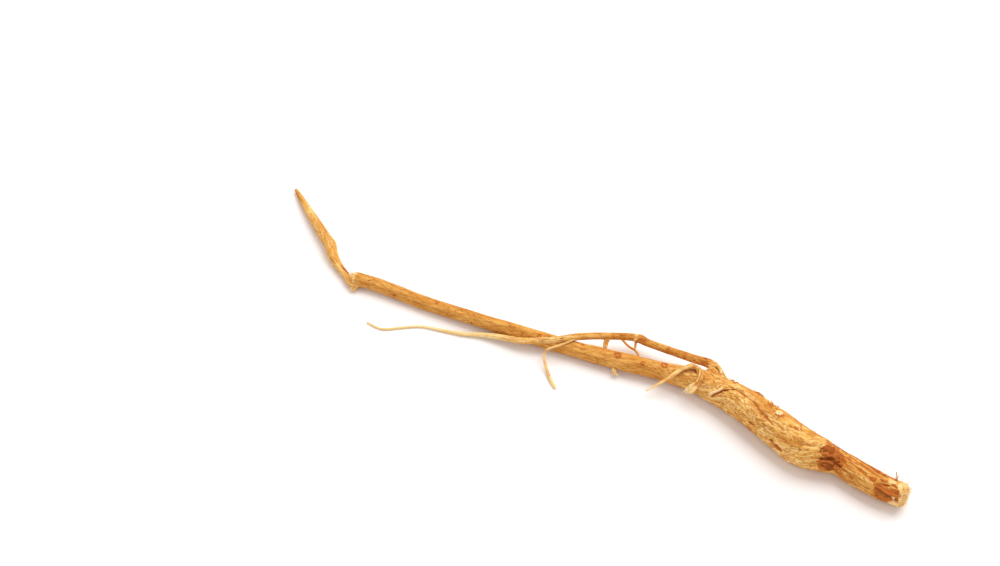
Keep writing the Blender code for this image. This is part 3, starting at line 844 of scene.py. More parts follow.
# Torn wood of the crown
# The stem broke off here, and its pale, stringy wood stands a little out of the ragged end of the bark.
TORN_WOOD = (
    (126.0, -8.3, 5.1, 3.40),
    (132.5, -8.5, 5.1, 3.80),
    (133.9, -8.5, 5.1, 3.70),
    (134.9, -8.5, 5.1, 3.10),
    (135.6, -8.5, 5.1, 2.20),
    (136.0, -8.5, 5.1, 1.00),
)
TORN_WOOD_GAP = 0.16
TORN_WOOD_SIDES = 120
TORN_WOOD_RAGGED = 0.16
TORN_WOOD_RISE = 0.6
# The waves of its ragged outline: turns round the end, pace along it and phase.
TORN_WOOD_WAVES = ((7, 0.0, 0.0), (5, 2.2, 0.0), (3, 0.0, 1.1))
TORN_WOOD_OUTER = (133.0, 135.5)
SPLINTER_SIZE = (2.6, 0.42)
SPLINTER_DEPTH = 0.70
SPLINTER_GAP = (0.10, 0.34)
SPLINTER_LEAST_RADIUS, SPLINTER_FULL_RADIUS = 2.0, 3.0
SPLINTER_STEPS = 0.8
SPLINTER_STEP_WIDTH = 0.9


def splintered(along, angle, radius, depth):
    """Height of long splinters, and how dark the gap beside them is."""
    value = bark_noise(along, angle, radius, *SPLINTER_SIZE)
    return depth * value, smooth_step(*SPLINTER_GAP, -value)


def end_steps(angle, radius, width, apart):
    """Noise across a snapped end, whose splinters stand out by different lengths."""
    return noise.noise(Vector((math.cos(angle) * radius / width, math.sin(angle) * radius / width, apart)))


def torn_wood(ring, along, centre, angle, radius):
    waves = [math.sin(turns * angle + pace * centre.x + phase) for turns, pace, phase in TORN_WOOD_WAVES]
    depth = SPLINTER_DEPTH * min(radius / SPLINTER_FULL_RADIUS, 1.0)
    height, gap = splintered(along, angle, max(radius, SPLINTER_LEAST_RADIUS), depth)
    reach = radius * (1.0 + TORN_WOOD_RAGGED / 2 * sum(waves)) + TORN_WOOD_RISE * height
    step = end_steps(angle, radius, SPLINTER_STEP_WIDTH, 3.0)
    outer = smooth_step(*TORN_WOOD_OUTER, centre.x)
    return reach, Vector((SPLINTER_STEPS * step * outer, 0.0, 0.0)), (gap,)


def wood_material(name, base, deep, bump_distance):
    """Pale stringy wood with ochre gaps between its splinters."""
    material, tree, shader = new_material(name, 0.12, 0.85)
    grain = grain_of(tree)
    colour = blend(tree, ramp(tree, grain["Streaks"], 0.40, 0.68, 0.7), base, deep)
    colour = blend(tree, ramp(tree, attribute(tree, "crack"), 0.2, 1.0, 0.70), colour, OCHRE)
    tree.links.new(colour, shader.inputs["Base Color"])
    add_bump(tree, shader, grain["Height"], 0.5, bump_distance)
    return material


def as_bark(piece, material):
    """Gives a piece its material, and it moves with the root."""
    piece.data.materials.append(material)
    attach(piece, "root")


wood_line = smooth_line(TORN_WOOD, TORN_WOOD_GAP)
crown_wood = roll_tube(
    "crown_wood", wood_line, level_frames(wood_line), TORN_WOOD_SIDES, torn_wood, ("crack",)
)
as_bark(crown_wood, wood_material("torn_wood", BROKEN_BARK, STRAW, 0.10 * MM))

# Fibres of the crown
# The tough bast fibres of the stem tore last. They stand out of the end as a short pale fringe, and a few
# longer ones and two brown splinters stick up where the bark split on top.
CROWN_FIBRES = 900
CROWN_FIBRE_RADIUS = (0.025, 0.070)
CROWN_FIBRE_LENGTH = (0.8, 2.7)
CROWN_FIBRE_LEAN = (0.0, 0.60)
CROWN_FIBRE_PLACE = (0.25, 1.04)
CROWN_FIBRE_CROWDING = 0.6
CROWN_FIBRE_START = (0.0, 0.5)
CROWN_FIBRE_SHORTEST = 0.45
CROWN_FIBRE_BEND = 0.55
CROWN_FIBRE_DROOP = 0.5
CROWN_FIBRE_SCATTER = ((-0.4, 0.4), (-0.5, 0.5), (-0.5, 0.5))
CROWN_FIBRE_TAPER, CROWN_UPRIGHT_TAPER, CROWN_SPLINTER_TAPER = 0.35, 0.4, 0.6
CROWN_CENTRE = Vector((132.5, -8.5, 5.1))
CROWN_DOME = 2.5
CROWN_RADIUS = 3.9
CROWN_SPLINTERS = (
    ((130.8, -6.6, 8.0), (130.1, -5.9, 10.2), (129.6, -5.0, 12.0), 0.26),
    ((131.1, -6.4, 8.0), (130.6, -5.8, 9.8), (130.4, -5.0, 11.0), 0.16),
)
CROWN_UPRIGHT = (
    ((130.6, -6.4, 8.2), (130.9, -5.2, 10.0), (130.7, -4.2, 11.0), 0.12),
    ((127.6, -6.9, 8.4), (127.0, -6.2, 9.9), (126.6, -5.6, 11.0), 0.20),
    ((132.2, -6.2, 7.9), (132.6, -5.4, 9.4), (132.4, -4.9, 10.4), 0.13),
    ((133.6, -6.3, 7.6), (134.3, -5.3, 9.0), (134.8, -4.6, 9.9), 0.14),
    ((134.1, -5.6, 6.9), (135.2, -4.2, 7.6), (135.9, -3.4, 8.6), 0.11),
)
STRAND_STEPS = 5


def curved(a, b, c, thick, thin):
    """A bent strand from a past b to c, as (point, radius), tapering from thick to thin."""
    path = []
    for i in range(STRAND_STEPS + 1):
        t = i / STRAND_STEPS
        point = Vector(a) * (1 - t) ** 2 + Vector(b) * 2 * t * (1 - t) + Vector(c) * t * t
        path.append((point, thick + (thin - thick) * t))
    return path


def strands(name, paths, material):
    """Round strands along the paths, as one mesh."""
    data = bpy.data.curves.new(name, "CURVE")
    data.dimensions = "3D"
    data.bevel_depth = MM
    data.bevel_resolution = 1
    data.use_fill_caps = True
    for path in paths:
        thread = data.splines.new("POLY")
        thread.points.add(len(path) - 1)
        for at, (point, radius) in zip(thread.points, path):
            at.co = (point.x * MM, point.y * MM, max(point.z, radius) * MM, 1.0)
            at.radius = radius
    made = bpy.data.objects.new(name, data)
    bpy.context.collection.objects.link(made)
    bpy.ops.object.select_all(action="DESELECT")
    bpy.context.view_layer.objects.active = made
    made.select_set(True)
    bpy.ops.object.convert(target="MESH")
    bpy.ops.object.shade_smooth()
    made = bpy.context.object
    made.name = made.data.name = name
    as_bark(made, material)


def fibre_material(name, pale, deep):
    material, tree, shader = new_material(name, 0.15, 0.8)
    place = put(tree, "TexCoord", {}).outputs["Object"]
    patches = put(tree, "TexNoise", {"Vector": place, "Scale": 900.0, "Detail": 1.0}).outputs["Fac"]
    tree.links.new(blend(tree, ramp(tree, patches, 0.38, 0.66), pale, deep), shader.inputs["Base Color"])
    return material


chance = random.Random(7)


def scatter(*parts):
    """An offset in x, y and z. Each part is a range that a number is drawn from, or the number itself."""
    return Vector([chance.uniform(*part) if isinstance(part, tuple) else part for part in parts])


def torn_fibres(count, place, spread, far, reach, bend, radii, taper):
    """Strands from about a place to about a far one, or, where far is None, by a reach from their start."""
    paths = []
    for _ in range(count):
        start = Vector(place) + scatter(*spread)
        tip = Vector(far or start) + scatter(*reach)
        middle = (start + tip) / 2 + scatter(*bend)
        radius = chance.uniform(*radii)
        paths.append(curved(start, middle, tip, radius, radius * taper))
    return paths


pale_fibre = fibre_material("pale_fibre", BROKEN_BARK, STRAW)
fringe = []
for _ in range(CROWN_FIBRES):
    angle = chance.uniform(0.0, math.tau)
    out = chance.uniform(*CROWN_FIBRE_PLACE) ** CROWN_FIBRE_CROWDING
    around = Vector((0.0, math.cos(angle), math.sin(angle)))
    dome = CROWN_DOME * math.sqrt(max(1.0 - out * out, 0.0)) + chance.uniform(*CROWN_FIBRE_START)
    root_end = CROWN_CENTRE + Vector((dome, 0.0, 0.0)) + around * CROWN_RADIUS * out
    length = chance.uniform(*CROWN_FIBRE_LENGTH)
    length *= CROWN_FIBRE_SHORTEST + (1.0 - CROWN_FIBRE_SHORTEST) * chance.random()
    lean = chance.uniform(*CROWN_FIBRE_LEAN) * out
    heading = (Vector((1.0, 0.0, 0.0)) + around * lean).normalized()
    droop = scatter(*CROWN_FIBRE_SCATTER)
    middle = root_end + heading * length * CROWN_FIBRE_BEND
    tip = root_end + heading * length + droop * length * CROWN_FIBRE_DROOP
    radius = chance.uniform(*CROWN_FIBRE_RADIUS)
    fringe.append(curved(root_end, middle, tip, radius, radius * CROWN_FIBRE_TAPER))
for a, b, c, radius in CROWN_UPRIGHT:
    fringe.append(curved(a, b, c, radius, radius * CROWN_UPRIGHT_TAPER))
strands("crown_fibres", fringe, pale_fibre)

brown_fibre = fibre_material("brown_fibre", OCHRE, LINE_BROWN)
splinters = [curved(a, b, c, radius, radius * CROWN_SPLINTER_TAPER) for a, b, c, radius in CROWN_SPLINTERS]
strands("crown_splinters", splinters, brown_fibre)

# Bud and flakes
# A dried bud is left on the swelling as a pale, pitted button, and flakes of bark have curled up, most of
# them along the root's back.
BUD_PLACE = (84.5, 80.0)
BUD_SIZE = Vector((1.20, 1.05, 0.80))
BUD_RISE = 0.30
BUD_PITS = (
    (Vector((-0.35, -0.25, 0.90)), 0.20),
    (Vector((0.30, 0.10, 0.95)), 0.14),
    (Vector((-0.05, 0.60, 0.80)), 0.16),
    (Vector((0.55, -0.50, 0.65)), 0.12),
)
BUD_LUMPS = 0.34
BUD_LUMP_PACE = 2.3
BUD_PIT_DEPTH = 0.48
BUD_PIT_DARK = 1.8
BUD_ROUGHNESS = 0.7
BUD_SEGMENTS = 40
BUD_RINGS = 24
FRAYED_PLACES = ((64.9, 44.0, 9), (74.7, 42.0, 9), (80.4, 60.0, 8), (92.3, 84.0, 5))
FRAYED_SPREAD = (1.1, 16.0)
LOOSE_FLAKES = 90
FLAKE_REACH = (30.0, 103.0)
# The length, radius and lift of a flake, and how large each is for a loose flake and where bark has frayed.
FLAKE_SIZES = ((0.7, 2.0), (0.07, 0.18), (0.05, 0.45))
LOOSE_SHARES = (1.0, 0.7, 0.5)
FRAYED_SHARES = (0.8, 1.5, 1.6)
FLAKE_SINK = 0.08
FLAKE_TURN = 9.0
FLAKE_ARCH = 0.5
FLAKE_TAPER = 0.45
main_frames = level_frames(main_line)


def on_bark(x, degrees, lift):
    """The point that is lift above the main root's bark at x and degrees, and the way out from it there."""
    i = min(range(len(main_line)), key=lambda k: abs(main_line[k][0].x - x))
    centre, radius = main_line[i]
    back, top = main_frames[i]
    turned = math.radians(degrees)
    out = back * math.cos(turned) + top * math.sin(turned)
    reach = grown_bark(centre.x, turned - grain_sway(centre.x), radius, MAIN_RIBS)
    return centre + out * (reach + lift), out


bpy.ops.object.select_all(action="DESELECT")
bpy.ops.mesh.primitive_uv_sphere_add(segments=BUD_SEGMENTS, ring_count=BUD_RINGS, radius=1.0)
bud = bpy.context.object
bud.name = bud.data.name = "bud"
bud_place, bud_out = on_bark(*BUD_PLACE, BUD_RISE)
bud_side = bud_out.cross(Vector((1.0, 0.0, 0.0))).normalized()
bud_ahead = bud_side.cross(bud_out)
bud_rod = bud.data.attributes.new("rod", "FLOAT_VECTOR", "POINT").data
bud_crack = bud.data.attributes.new("crack", "FLOAT", "POINT").data
for i, vertex in enumerate(bud.data.vertices):
    local = vertex.co.copy()
    pit = max(bell((local - place).length / size) for place, size in BUD_PITS)
    local *= (1.0 + BUD_LUMPS * noise.noise(local * BUD_LUMP_PACE)) * (1.0 - BUD_PIT_DEPTH * pit)
    local = Vector((local.x * BUD_SIZE.x, local.y * BUD_SIZE.y, local.z * BUD_SIZE.z))
    bud_rod[i].vector = local
    bud_crack[i].value = min(1.0, BUD_PIT_DARK * pit)
    vertex.co = (bud_place + bud_ahead * local.x + bud_side * local.y + bud_out * local.z) * MM
bpy.ops.object.shade_smooth()
as_bark(bud, wood_material("bud_scales", BROKEN_BARK, CREAM, 0.05 * MM))
bud.data.materials[0].node_tree.nodes["Principled BSDF"].inputs["Roughness"].default_value = BUD_ROUGHNESS

pale_flakes = []
brown_flakes = []


def add_flake(x, degrees, shares):
    """Adds a sliver of bark that lies on the root and lifts at its tip."""
    length, radius, lift = [chance.uniform(*size) * share for size, share in zip(FLAKE_SIZES, shares)]
    start, out = on_bark(x, degrees, -FLAKE_SINK)
    tip_x = x + chance.choice((-1.0, 1.0)) * length
    tip, _ = on_bark(tip_x, degrees + chance.uniform(-FLAKE_TURN, FLAKE_TURN), lift)
    middle = (start + tip) / 2 + out * FLAKE_ARCH * lift
    sliver = curved(start, middle, tip, radius, radius * FLAKE_TAPER)
    chance.choice((pale_flakes, brown_flakes, brown_flakes)).append(sliver)


for _ in range(LOOSE_FLAKES):
    add_flake(chance.uniform(*FLAKE_REACH), chance.uniform(0.0, 360.0), LOOSE_SHARES)
for x, degrees, count in FRAYED_PLACES:
    for _ in range(count):
        at_x = x + chance.gauss(0.0, FRAYED_SPREAD[0])
        add_flake(at_x, degrees + chance.gauss(0.0, FRAYED_SPREAD[1]), FRAYED_SHARES)
light_fibre = fibre_material("light_flakes", CREAM, STRAW)
strands("pale_flakes", pale_flakes, light_fibre)
strands("brown_flakes", brown_flakes, brown_fibre)

# Bark of the tail
# Past the kink the root goes on as a thinner, paler length that tapers to a broken tip. Its side that faces
# the kink has a shallow dent, painted brown and rust as painted shade.
TAIL = (
    (-79.0, -7.3, 2.9, 0.80),
    (-84.0, -8.3, 2.4, 1.25),
    (-87.7, -10.2, 2.0, 1.60),
    (-93.0, -7.3, 2.0, 1.50),
    (-98.8, -4.0, 2.1, 1.75),
    (-103.2, -0.5, 2.6, 2.20),
    (-106.1, 2.8, 2.8, 2.45),
    (-110.3, 5.6, 2.7, 2.30),
    (-123.1, 14.6, 2.2, 1.80),
    (-129.5, 19.3, 1.8, 1.35),
    (-135.9, 24.0, 1.2, 0.70),
)
TAIL_GAP = 0.5
TAIL_SIDES = 72
# The ring that closes a blunt end, as shares of its radius.
END_LENGTH = 0.3
END_RADIUS = 0.62
TAIL_SPOTS = (((-104.0, 0.5, 4.6), 3.0, 0.30, 0.0),)
# Where the tail's side is dented and painted with shade: x, half length, angle in degrees, half width in
# radians, depth, darkness.
TAIL_SHADED_DENT = (-93.0, 3.4, 60.0, 0.52, 0.25, 0.72)
# How much the edges of spots on the smaller roots are broken up: a base and an amount.
BROKEN_EDGE = (0.75, 0.9)
# The length and the turns of that noise, on spots and on the tail's painted shade.
SPOT_EDGE = (0.9, 2.0)
TAIL_SHADE_EDGE = (1.6, 2.5)
ROOTLET_PATCH = (9.0, 3.0)
ROOTLET_PATCHES = 0.8
NEAR_UPRIGHT = 0.2
CREASE_FULL_RADIUS = 2.4


def rounded(line):
    """Adds a small ring that closes the line's far end."""
    (before, _), (end, radius) = line[-2:]
    return line + [(end + (end - before).normalized() * radius * END_LENGTH, radius * END_RADIUS)]


def carried_frames(line):
    """For a bent rootlet: a frame that is carried along the line without turning round it."""
    tangent = tangent_at(line, 0)
    back = tangent.cross(Vector((0, 0, 1)))
    if back.length < NEAR_UPRIGHT:
        back = tangent.cross(Vector((0, 1, 0)))
    back.normalize()
    frames = []
    for i in range(len(line)):
        turned = tangent_at(line, i)
        back = (tangent.rotation_difference(turned) @ back).normalized()
        tangent = turned
        frames.append((back, back.cross(tangent)))
    return frames


def broken_edge(along, angle, length, turns):
    place = Vector((along / length, math.cos(angle) * turns, math.sin(angle) * turns))
    return BROKEN_EDGE[0] + BROKEN_EDGE[1] * noise.noise(place)


def plain_bark(ribs, rough, ochre_share, tan, pale_share=0.0, spots=()):
    """Bark of a side root or rootlet. Spots are places with a radius, a rust and a pale strength."""

    def surface_at(ring, along, centre, angle, radius):
        height, crack = fine_creases(along, angle, radius, rough)
        height *= min(radius / CREASE_FULL_RADIUS, 1.0)
        reach = grown_bark(centre.x, angle, radius, ribs) + height
        ochre = ochre_share + ROOTLET_PATCHES * bark_noise(along, angle, radius, *ROOTLET_PATCH)
        rust = 0.0
        pale = pale_share
        for place, size, rust_strength, pale_strength in spots:
            near = bell((centre - Vector(place)).length / size)
            broken = near * broken_edge(along, angle, *SPOT_EDGE)
            rust = max(rust, rust_strength * broken)
            pale = max(pale, pale_strength * broken)
        return reach, Vector(), (crack, limited(ochre), min(rust, 1.0), min(pale, 1.0), 0.0, tan)

    return surface_at


def add_rootlet(name, stations, gap, sides, surface_at, material, level):
    line = rounded(smooth_line(stations, gap))
    frames = level_frames(line) if level else carried_frames(line)
    as_bark(roll_tube(name, line, frames, sides, surface_at, BARK_MARKS), material)


tail_plain = plain_bark(3, 0.55, 0.10, 0.15, 0.0, TAIL_SPOTS)


def tail_bark(ring, along, centre, angle, radius):
    """The side that faces the main root's end is dented, and painted brown and rust there as painted shade.
    """
    reach, shift, (crack, ochre, rust, pale, dark, tan) = tail_plain(ring, along, centre, angle, radius)
    dent_x, half_length, degrees, half_width, depth, darkness = TAIL_SHADED_DENT
    broken = bell((centre.x - dent_x) / half_length) * bell(turn_from(degrees, angle) / half_width)
    broken *= broken_edge(along, angle, *TAIL_SHADE_EDGE)
    # Painted shade on the dent, through the rust and dark marks.
    return reach - depth * broken, shift, (crack, ochre, max(rust, broken), pale, darkness * broken, tan)


pale_bark = bark_material("pale_bark", 0.45, 0.55, 0.08 * MM)
add_rootlet("tail_bark", TAIL, TAIL_GAP, TAIL_SIDES, tail_bark, pale_bark, True)

# Broken wood at the kink
# The root folded when it was dry. Its wood snapped square, torn fibres still cross to the tail, and a knot
# of them hangs out in front.
KINK_WOOD = (
    (-80.0, -7.1, 2.9, 1.60),
    (-87.2, -8.0, 2.9, 1.75),
    (-88.6, -8.2, 2.9, 1.80),
    (-89.2, -8.3, 2.9, 1.40),
    (-89.5, -8.3, 2.9, 0.70),
)
KINK_WOOD_GAP = 0.16
KINK_WOOD_SIDES = 72
KINK_SPLINTER_DEPTH = 0.30
KINK_STEPS = 0.35
KINK_STEP_WIDTH = 0.7
KINK_OUTER = (-87.0, -88.6)
KINK_RISE, KINK_GAP = 0.5, 0.6
# Torn fibres: how many, their place and its spread, their far place and their reach, bend, radii and taper.
KINK_FIBRES = (
    # the knot in front
    (
        70,
        (-85.6, -9.6, 2.0),
        ((-1.2, 1.0), (-0.6, 0.4), (-0.9, 1.2)),
        (-86.3, -11.9, 1.3),
        ((-1.5, 1.2), (-1.3, 0.9), (-0.8, 1.1)),
        ((-0.7, 0.7), -0.5, (0.0, 0.8)),
        (0.06, 0.17),
        0.5,
    ),
    # those that cross to the tail
    (
        34,
        (-86.6, -7.9, 4.7),
        (0.0, (-1.7, 1.7), (-0.6, 0.4)),
        None,
        ((-4.2, -1.6), (-1.3, 0.5), (-1.0, 0.3)),
        (0.0, 0.0, (0.0, 0.6)),
        (0.05, 0.14),
        0.4,
    ),
)


def kink_wood(ring, along, centre, angle, radius):
    height, gap = splintered(along, angle, radius, KINK_SPLINTER_DEPTH)
    step = end_steps(angle, radius, KINK_STEP_WIDTH, 9.0)
    outer = smooth_step(*KINK_OUTER, centre.x)
    shift = Vector((-KINK_STEPS * step * outer, 0.0, 0.0))
    return radius + KINK_RISE * height, shift, (KINK_GAP * gap,)


kink_line = smooth_line(KINK_WOOD, KINK_WOOD_GAP)
broken_end = roll_tube(
    "kink_wood", kink_line, level_frames(kink_line), KINK_WOOD_SIDES, kink_wood, ("crack",)
)
as_bark(broken_end, wood_material("snapped_wood", CREAM, OCHRE, 0.10 * MM))

torn = [fibre for row in KINK_FIBRES for fibre in torn_fibres(*row)]
strands("kink_fibres", torn, light_fibre)

# Bark of the side root
# It leaves the node's raised shoulder at the back, where its bark tore, runs beside the main root and over
# it, and lies along its front as a smooth pale thread. Strips of bark peeled off at its base and its joint.
SIDE_ROOT = (
    (63.4, 5.6, 5.4, 2.10),
    (58.6, 10.6, 5.8, 2.00),
    (54.2, 13.5, 6.3, 1.82),
    (46.0, 13.0, 6.3, 1.55),
    (30.0, 12.4, 6.2, 1.50),
    (25.7, 12.7, 6.2, 1.70),
    (21.5, 11.7, 6.2, 1.35),
    (11.5, 6.8, 6.5, 1.30),
    (5.0, 2.8, 6.9, 1.30),
    (-1.2, -1.4, 6.7, 1.20),
    (-8.0, -4.6, 5.4, 1.15),
    (-15.3, -7.0, 4.0, 1.15),
    (-23.3, -8.1, 2.7, 1.10),
    (-31.0, -9.7, 1.6, 0.85),
    (-38.3, -12.2, 0.9, 0.70),
    (-46.2, -14.0, 0.65, 0.55),
    (-54.0, -15.9, 0.50, 0.45),
    (-60.6, -20.0, 0.46, 0.42),
    (-65.5, -23.2, 0.44, 0.40),
    (-69.0, -23.9, 0.42, 0.38),
    (-73.5, -23.4, 0.38, 0.34),
)
SIDE_GAP = 0.4
SIDE_SIDES = 56
NODE_SHOULDER = (
    (64.2, 3.2, 5.2, 4.0),
    (60.2, 6.1, 5.2, 4.4),
    (57.0, 9.1, 5.5, 3.6),
    (55.2, 11.2, 5.6, 2.5),
)
SHOULDER_GAP = 0.30
SHOULDER_SIDES = 110
# Spots on a smaller root: a place, a radius, how rusty and how pale.
SHOULDER_SPOTS = (((54.4, 11.2, 5.2), 0.9, 0.0, 0.90), ((55.8, 9.6, 5.2), 0.9, 0.60, 0.0))
SIDE_SPOTS = (
    ((54.6, 13.2, 6.2), 1.1, 0.0, 0.55),
    ((52.0, 13.6, 6.3), 1.5, 0.75, 0.0),
    ((44.0, 13.0, 6.3), 0.7, 0.6, 0.0),
    ((37.5, 12.7, 6.3), 0.8, 0.7, 0.0),
    ((28.0, 12.5, 6.2), 1.0, 0.7, 0.0),
    ((26.6, 12.8, 6.2), 0.9, 0.65, 0.0),
    ((24.2, 12.6, 6.2), 0.7, 0.0, 0.9),
    ((20.0, 11.0, 6.2), 0.6, 0.5, 0.0),
    ((16.3, 8.8, 6.3), 0.8, 0.8, 0.0),
    ((-8.0, -4.6, 5.4), 0.9, 0.5, 0.0),
    ((-22.0, -8.0, 2.9), 0.9, 0.45, 0.0),
    ((-46.2, -14.3, 1.1), 0.8, 0.4, 0.0),
)
# Peeled strips: a name, and the same values as for the kink's fibres.
PEELED_STRIPS = (
    (
        "torn_base",
        26,
        (55.2, 11.9, 7.5),
        ((-1.3, 1.1), (-0.5, 0.6), (-0.5, 0.2)),
        None,
        ((-1.5, 0.8), (-0.9, 0.3), (-0.6, 0.3)),
        (0.0, 0.0, 0.2),
        (0.10, 0.26),
        0.5,
    ),
    (
        "peeled_joint",
        14,
        (25.2, 12.5, 7.5),
        ((-0.4, 0.6), (-0.9, 0.7), (-0.6, 0.0)),
        None,
        ((-4.6, -1.4), (-0.9, 0.2), (-0.5, 0.2)),
        (0.0, 0.0, 0.3),
        (0.08, 0.20),
        0.5,
    ),
)
# Where the wrinkled near part passes into the smooth middle, and the middle into the far thread.
SIDE_NEAR = (-2.0, 14.0)
SIDE_FAR = (-34.0, -6.0)
SIDE_PALE = (0.32, 0.34)
# How much of the ochre and of the cracks is left past the near part, and how much ochre is added in it.
SIDE_OCHRE_LEFT, SIDE_CRACK_LEFT = 0.30, 0.35
SIDE_OCHRE_ADDED = 0.10
side_plain = plain_bark(2, 1.20, 0.12, 0.85, 0.12, SIDE_SPOTS)


def side_bark(ring, along, centre, angle, radius):
    near = smooth_step(*SIDE_NEAR, centre.x)
    far = 1.0 - smooth_step(*SIDE_FAR, centre.x)
    reach, shift, (crack, ochre, rust, pale, dark, tan) = side_plain(ring, along, centre, angle, radius)
    ochre *= SIDE_OCHRE_LEFT + (1.0 - SIDE_OCHRE_LEFT) * near
    ochre = min(1.0, ochre + SIDE_OCHRE_ADDED * near)
    crack *= SIDE_CRACK_LEFT + (1.0 - SIDE_CRACK_LEFT) * near
    if near < 1.0:
        pale = max(pale, SIDE_PALE[0] + SIDE_PALE[1] * far)
    return reach, shift, (crack, ochre, rust, pale, dark, tan * near)


shoulder_bark = plain_bark(3, 0.75, 0.40, 0.15, 0.0, SHOULDER_SPOTS)
straw_bark = bark.data.materials[0]
add_rootlet("node_shoulder", NODE_SHOULDER, SHOULDER_GAP, SHOULDER_SIDES, shoulder_bark, straw_bark, True)
lined_bark = bark_material("lined_bark", 0.66, 0.85, 0.14 * MM, 0.61)
add_rootlet("side_root_bark", SIDE_ROOT, SIDE_GAP, SIDE_SIDES, side_bark, lined_bark, True)

for name, *row in PEELED_STRIPS:
    strands(name, torn_fibres(*row), pale_fibre)

# Rootlets
# Thin pale rootlets fork off where the side root crosses over, hang between the two roots, and rise as a
# spur over the node's shoulder. Short splintered stubs are left where others broke off.
FORK_ROOTLET = (
    (6.6, 4.0, 6.9, 0.50),
    (4.2, 1.3, 7.0, 0.45),
    (0.8, -3.0, 6.6, 0.42),
    (-1.5, -5.3, 6.2, 0.42),
    (-3.6, -7.3, 5.6, 0.45),
    (-4.2, -8.6, 4.8, 0.47),
    (-3.3, -10.7, 3.0, 0.50),
    (-1.7, -12.4, 1.8, 0.55),
    (0.3, -14.4, 1.0, 0.58),
    (2.6, -16.6, 0.74, 0.64),
    (5.3, -18.8, 0.60, 0.50),
)
FORK_SPOTS = (
    ((-3.9, -8.0, 5.2), 0.8, 0.7, 0.0),
    ((4.0, -17.8, 0.7), 2.0, 0.0, 1.3),
    ((0.9, -15.0, 0.9), 0.5, 0.8, 0.0),
    ((4.4, -18.1, 0.6), 0.35, 0.8, 0.0),
)
SPUR = ((55.6, 12.6, 7.4, 0.55), (57.0, 12.4, 8.6, 0.62), (58.4, 11.0, 9.3, 0.62), (59.7, 9.0, 9.5, 0.42))
HANGING_STUB = ((14.6, 8.6, 6.3, 1.10), (14.6, 6.2, 5.4, 0.95), (15.2, 3.9, 4.6, 0.75))
THIN_ROOTLET = (
    (18.2, 10.4, 6.1, 0.45),
    (22.7, 8.4, 5.2, 0.43),
    (26.4, 7.6, 4.8, 0.40),
    (29.6, 4.4, 4.9, 0.38),
)
LOOSE_FIBRE = ((24.3, 12.6, 6.0, 0.50), (24.9, 10.6, 5.1, 0.45), (25.4, 8.9, 4.4, 0.40))
FRONT_STUB = ((21.2, 0.4, 3.2, 0.95), (21.7, -1.9, 2.5, 0.85), (22.3, -3.0, 2.2, 0.80))
# The splinters on the front stub's end, in the same order as the kink's fibres.
STUB_SPLINTERS = (
    26,
    FRONT_STUB[-1][:3],
    ((-0.8, 0.8), (-0.1, 0.8), (-0.6, 0.7)),
    None,
    ((-0.4, 1.1), (-1.7, -0.5), (-0.7, 0.4)),
    (0.0, 0.0, 0.0),
    (0.12, 0.28),
    0.6,
)
# Name, stations, gap between rings, sides, creases, ochre, tan, paleness and spots.
ROOTLETS = (
    ("fork_rootlet", FORK_ROOTLET, 0.30, 28, 0.30, 0.15, 0.10, 0.46, FORK_SPOTS),
    ("spur", SPUR, 0.25, 24, 0.45, 0.10, 0.0, 0.45, (((59.4, 9.6, 9.4), 1.4, 0.0, 0.9),)),
    ("hanging_stub", HANGING_STUB, 0.25, 32, 0.60, 0.45, 0.5, 0.0, (((15.0, 4.4, 4.8), 0.8, 0.3, 0.6),)),
    ("thin_rootlet", THIN_ROOTLET, 0.30, 24, 0.35, 0.45, 0.8, 0.0, ()),
    ("loose_fibre", LOOSE_FIBRE, 0.25, 20, 0.35, 0.60, 0.8, 0.0, (((25.4, 8.9, 4.4), 0.8, 0.0, 0.8),)),
    ("front_stub", FRONT_STUB, 0.25, 32, 1.20, 0.30, 0.3, 0.20, (((22.3, -3.0, 2.2), 1.0, 0.2, 0.8),)),
)

for name, stations, gap, sides, rough, ochre_share, tan, pale_share, spots in ROOTLETS:
    surface_at = plain_bark(1, rough, ochre_share, tan, pale_share, spots)
    add_rootlet(name, stations, gap, sides, surface_at, pale_bark, False)

strands("stub_splinters", torn_fibres(*STUB_SPLINTERS), pale_fibre)

# Hooked rootlet
# A rootlet that tore loose at the node arches over the root. It is a peeled strip of bark, hollow below.
HOOKED_ROOTLET = (
    (53.2, 4.4, 8.2, 0.80),
    (51.4, 6.6, 9.9, 0.75),
    (49.1, 7.0, 10.3, 0.67),
    (47.4, 5.6, 10.0, 0.65),
    (45.4, 3.7, 9.2, 0.63),
    (43.5, 0.9, 7.9, 0.62),
    (41.7, -1.1, 6.5, 0.58),
    (39.0, -3.8, 4.6, 0.52),
    (36.6, -6.2, 2.8, 0.38),
)
HOOK_GAP = 0.22
HOOK_SIDES = 36
HOOK_SPOTS = (((37.2, -5.6, 3.3), 2.2, 0.0, 1.4), ((50.0, 7.0, 10.2), 1.6, 0.55, 0.0))
HOOK_CENTRE = Vector((45.0, 0.0, 3.0))
# The strip is flat and wide up to where it narrows to its tip, and hollow below, where painted shade darkens
# it brown and rust.
HOOK_WIDENS = (38.0, 47.0)
HOOK_WIDER = 0.75
HOOK_FLATTER = 0.25
HOLLOW_DEPTH = 0.62
HOLLOW_HALF = 0.55
HOLLOW_SHADE_BROWN = 0.9
HOLLOW_SHADE_RUST = 0.8
hook_plain = plain_bark(1, 0.45, 0.10, 0.10, 0.38, HOOK_SPOTS)


def arch_frames(line, centre):
    """For an arched strip: its top points away from what it arches over."""
    frames = []
    for i in range(len(line)):
        tangent = tangent_at(line, i)
        away = line[i][0] - centre
        top = (away - tangent * away.dot(tangent)).normalized()
        frames.append((tangent.cross(top), top))
    return frames


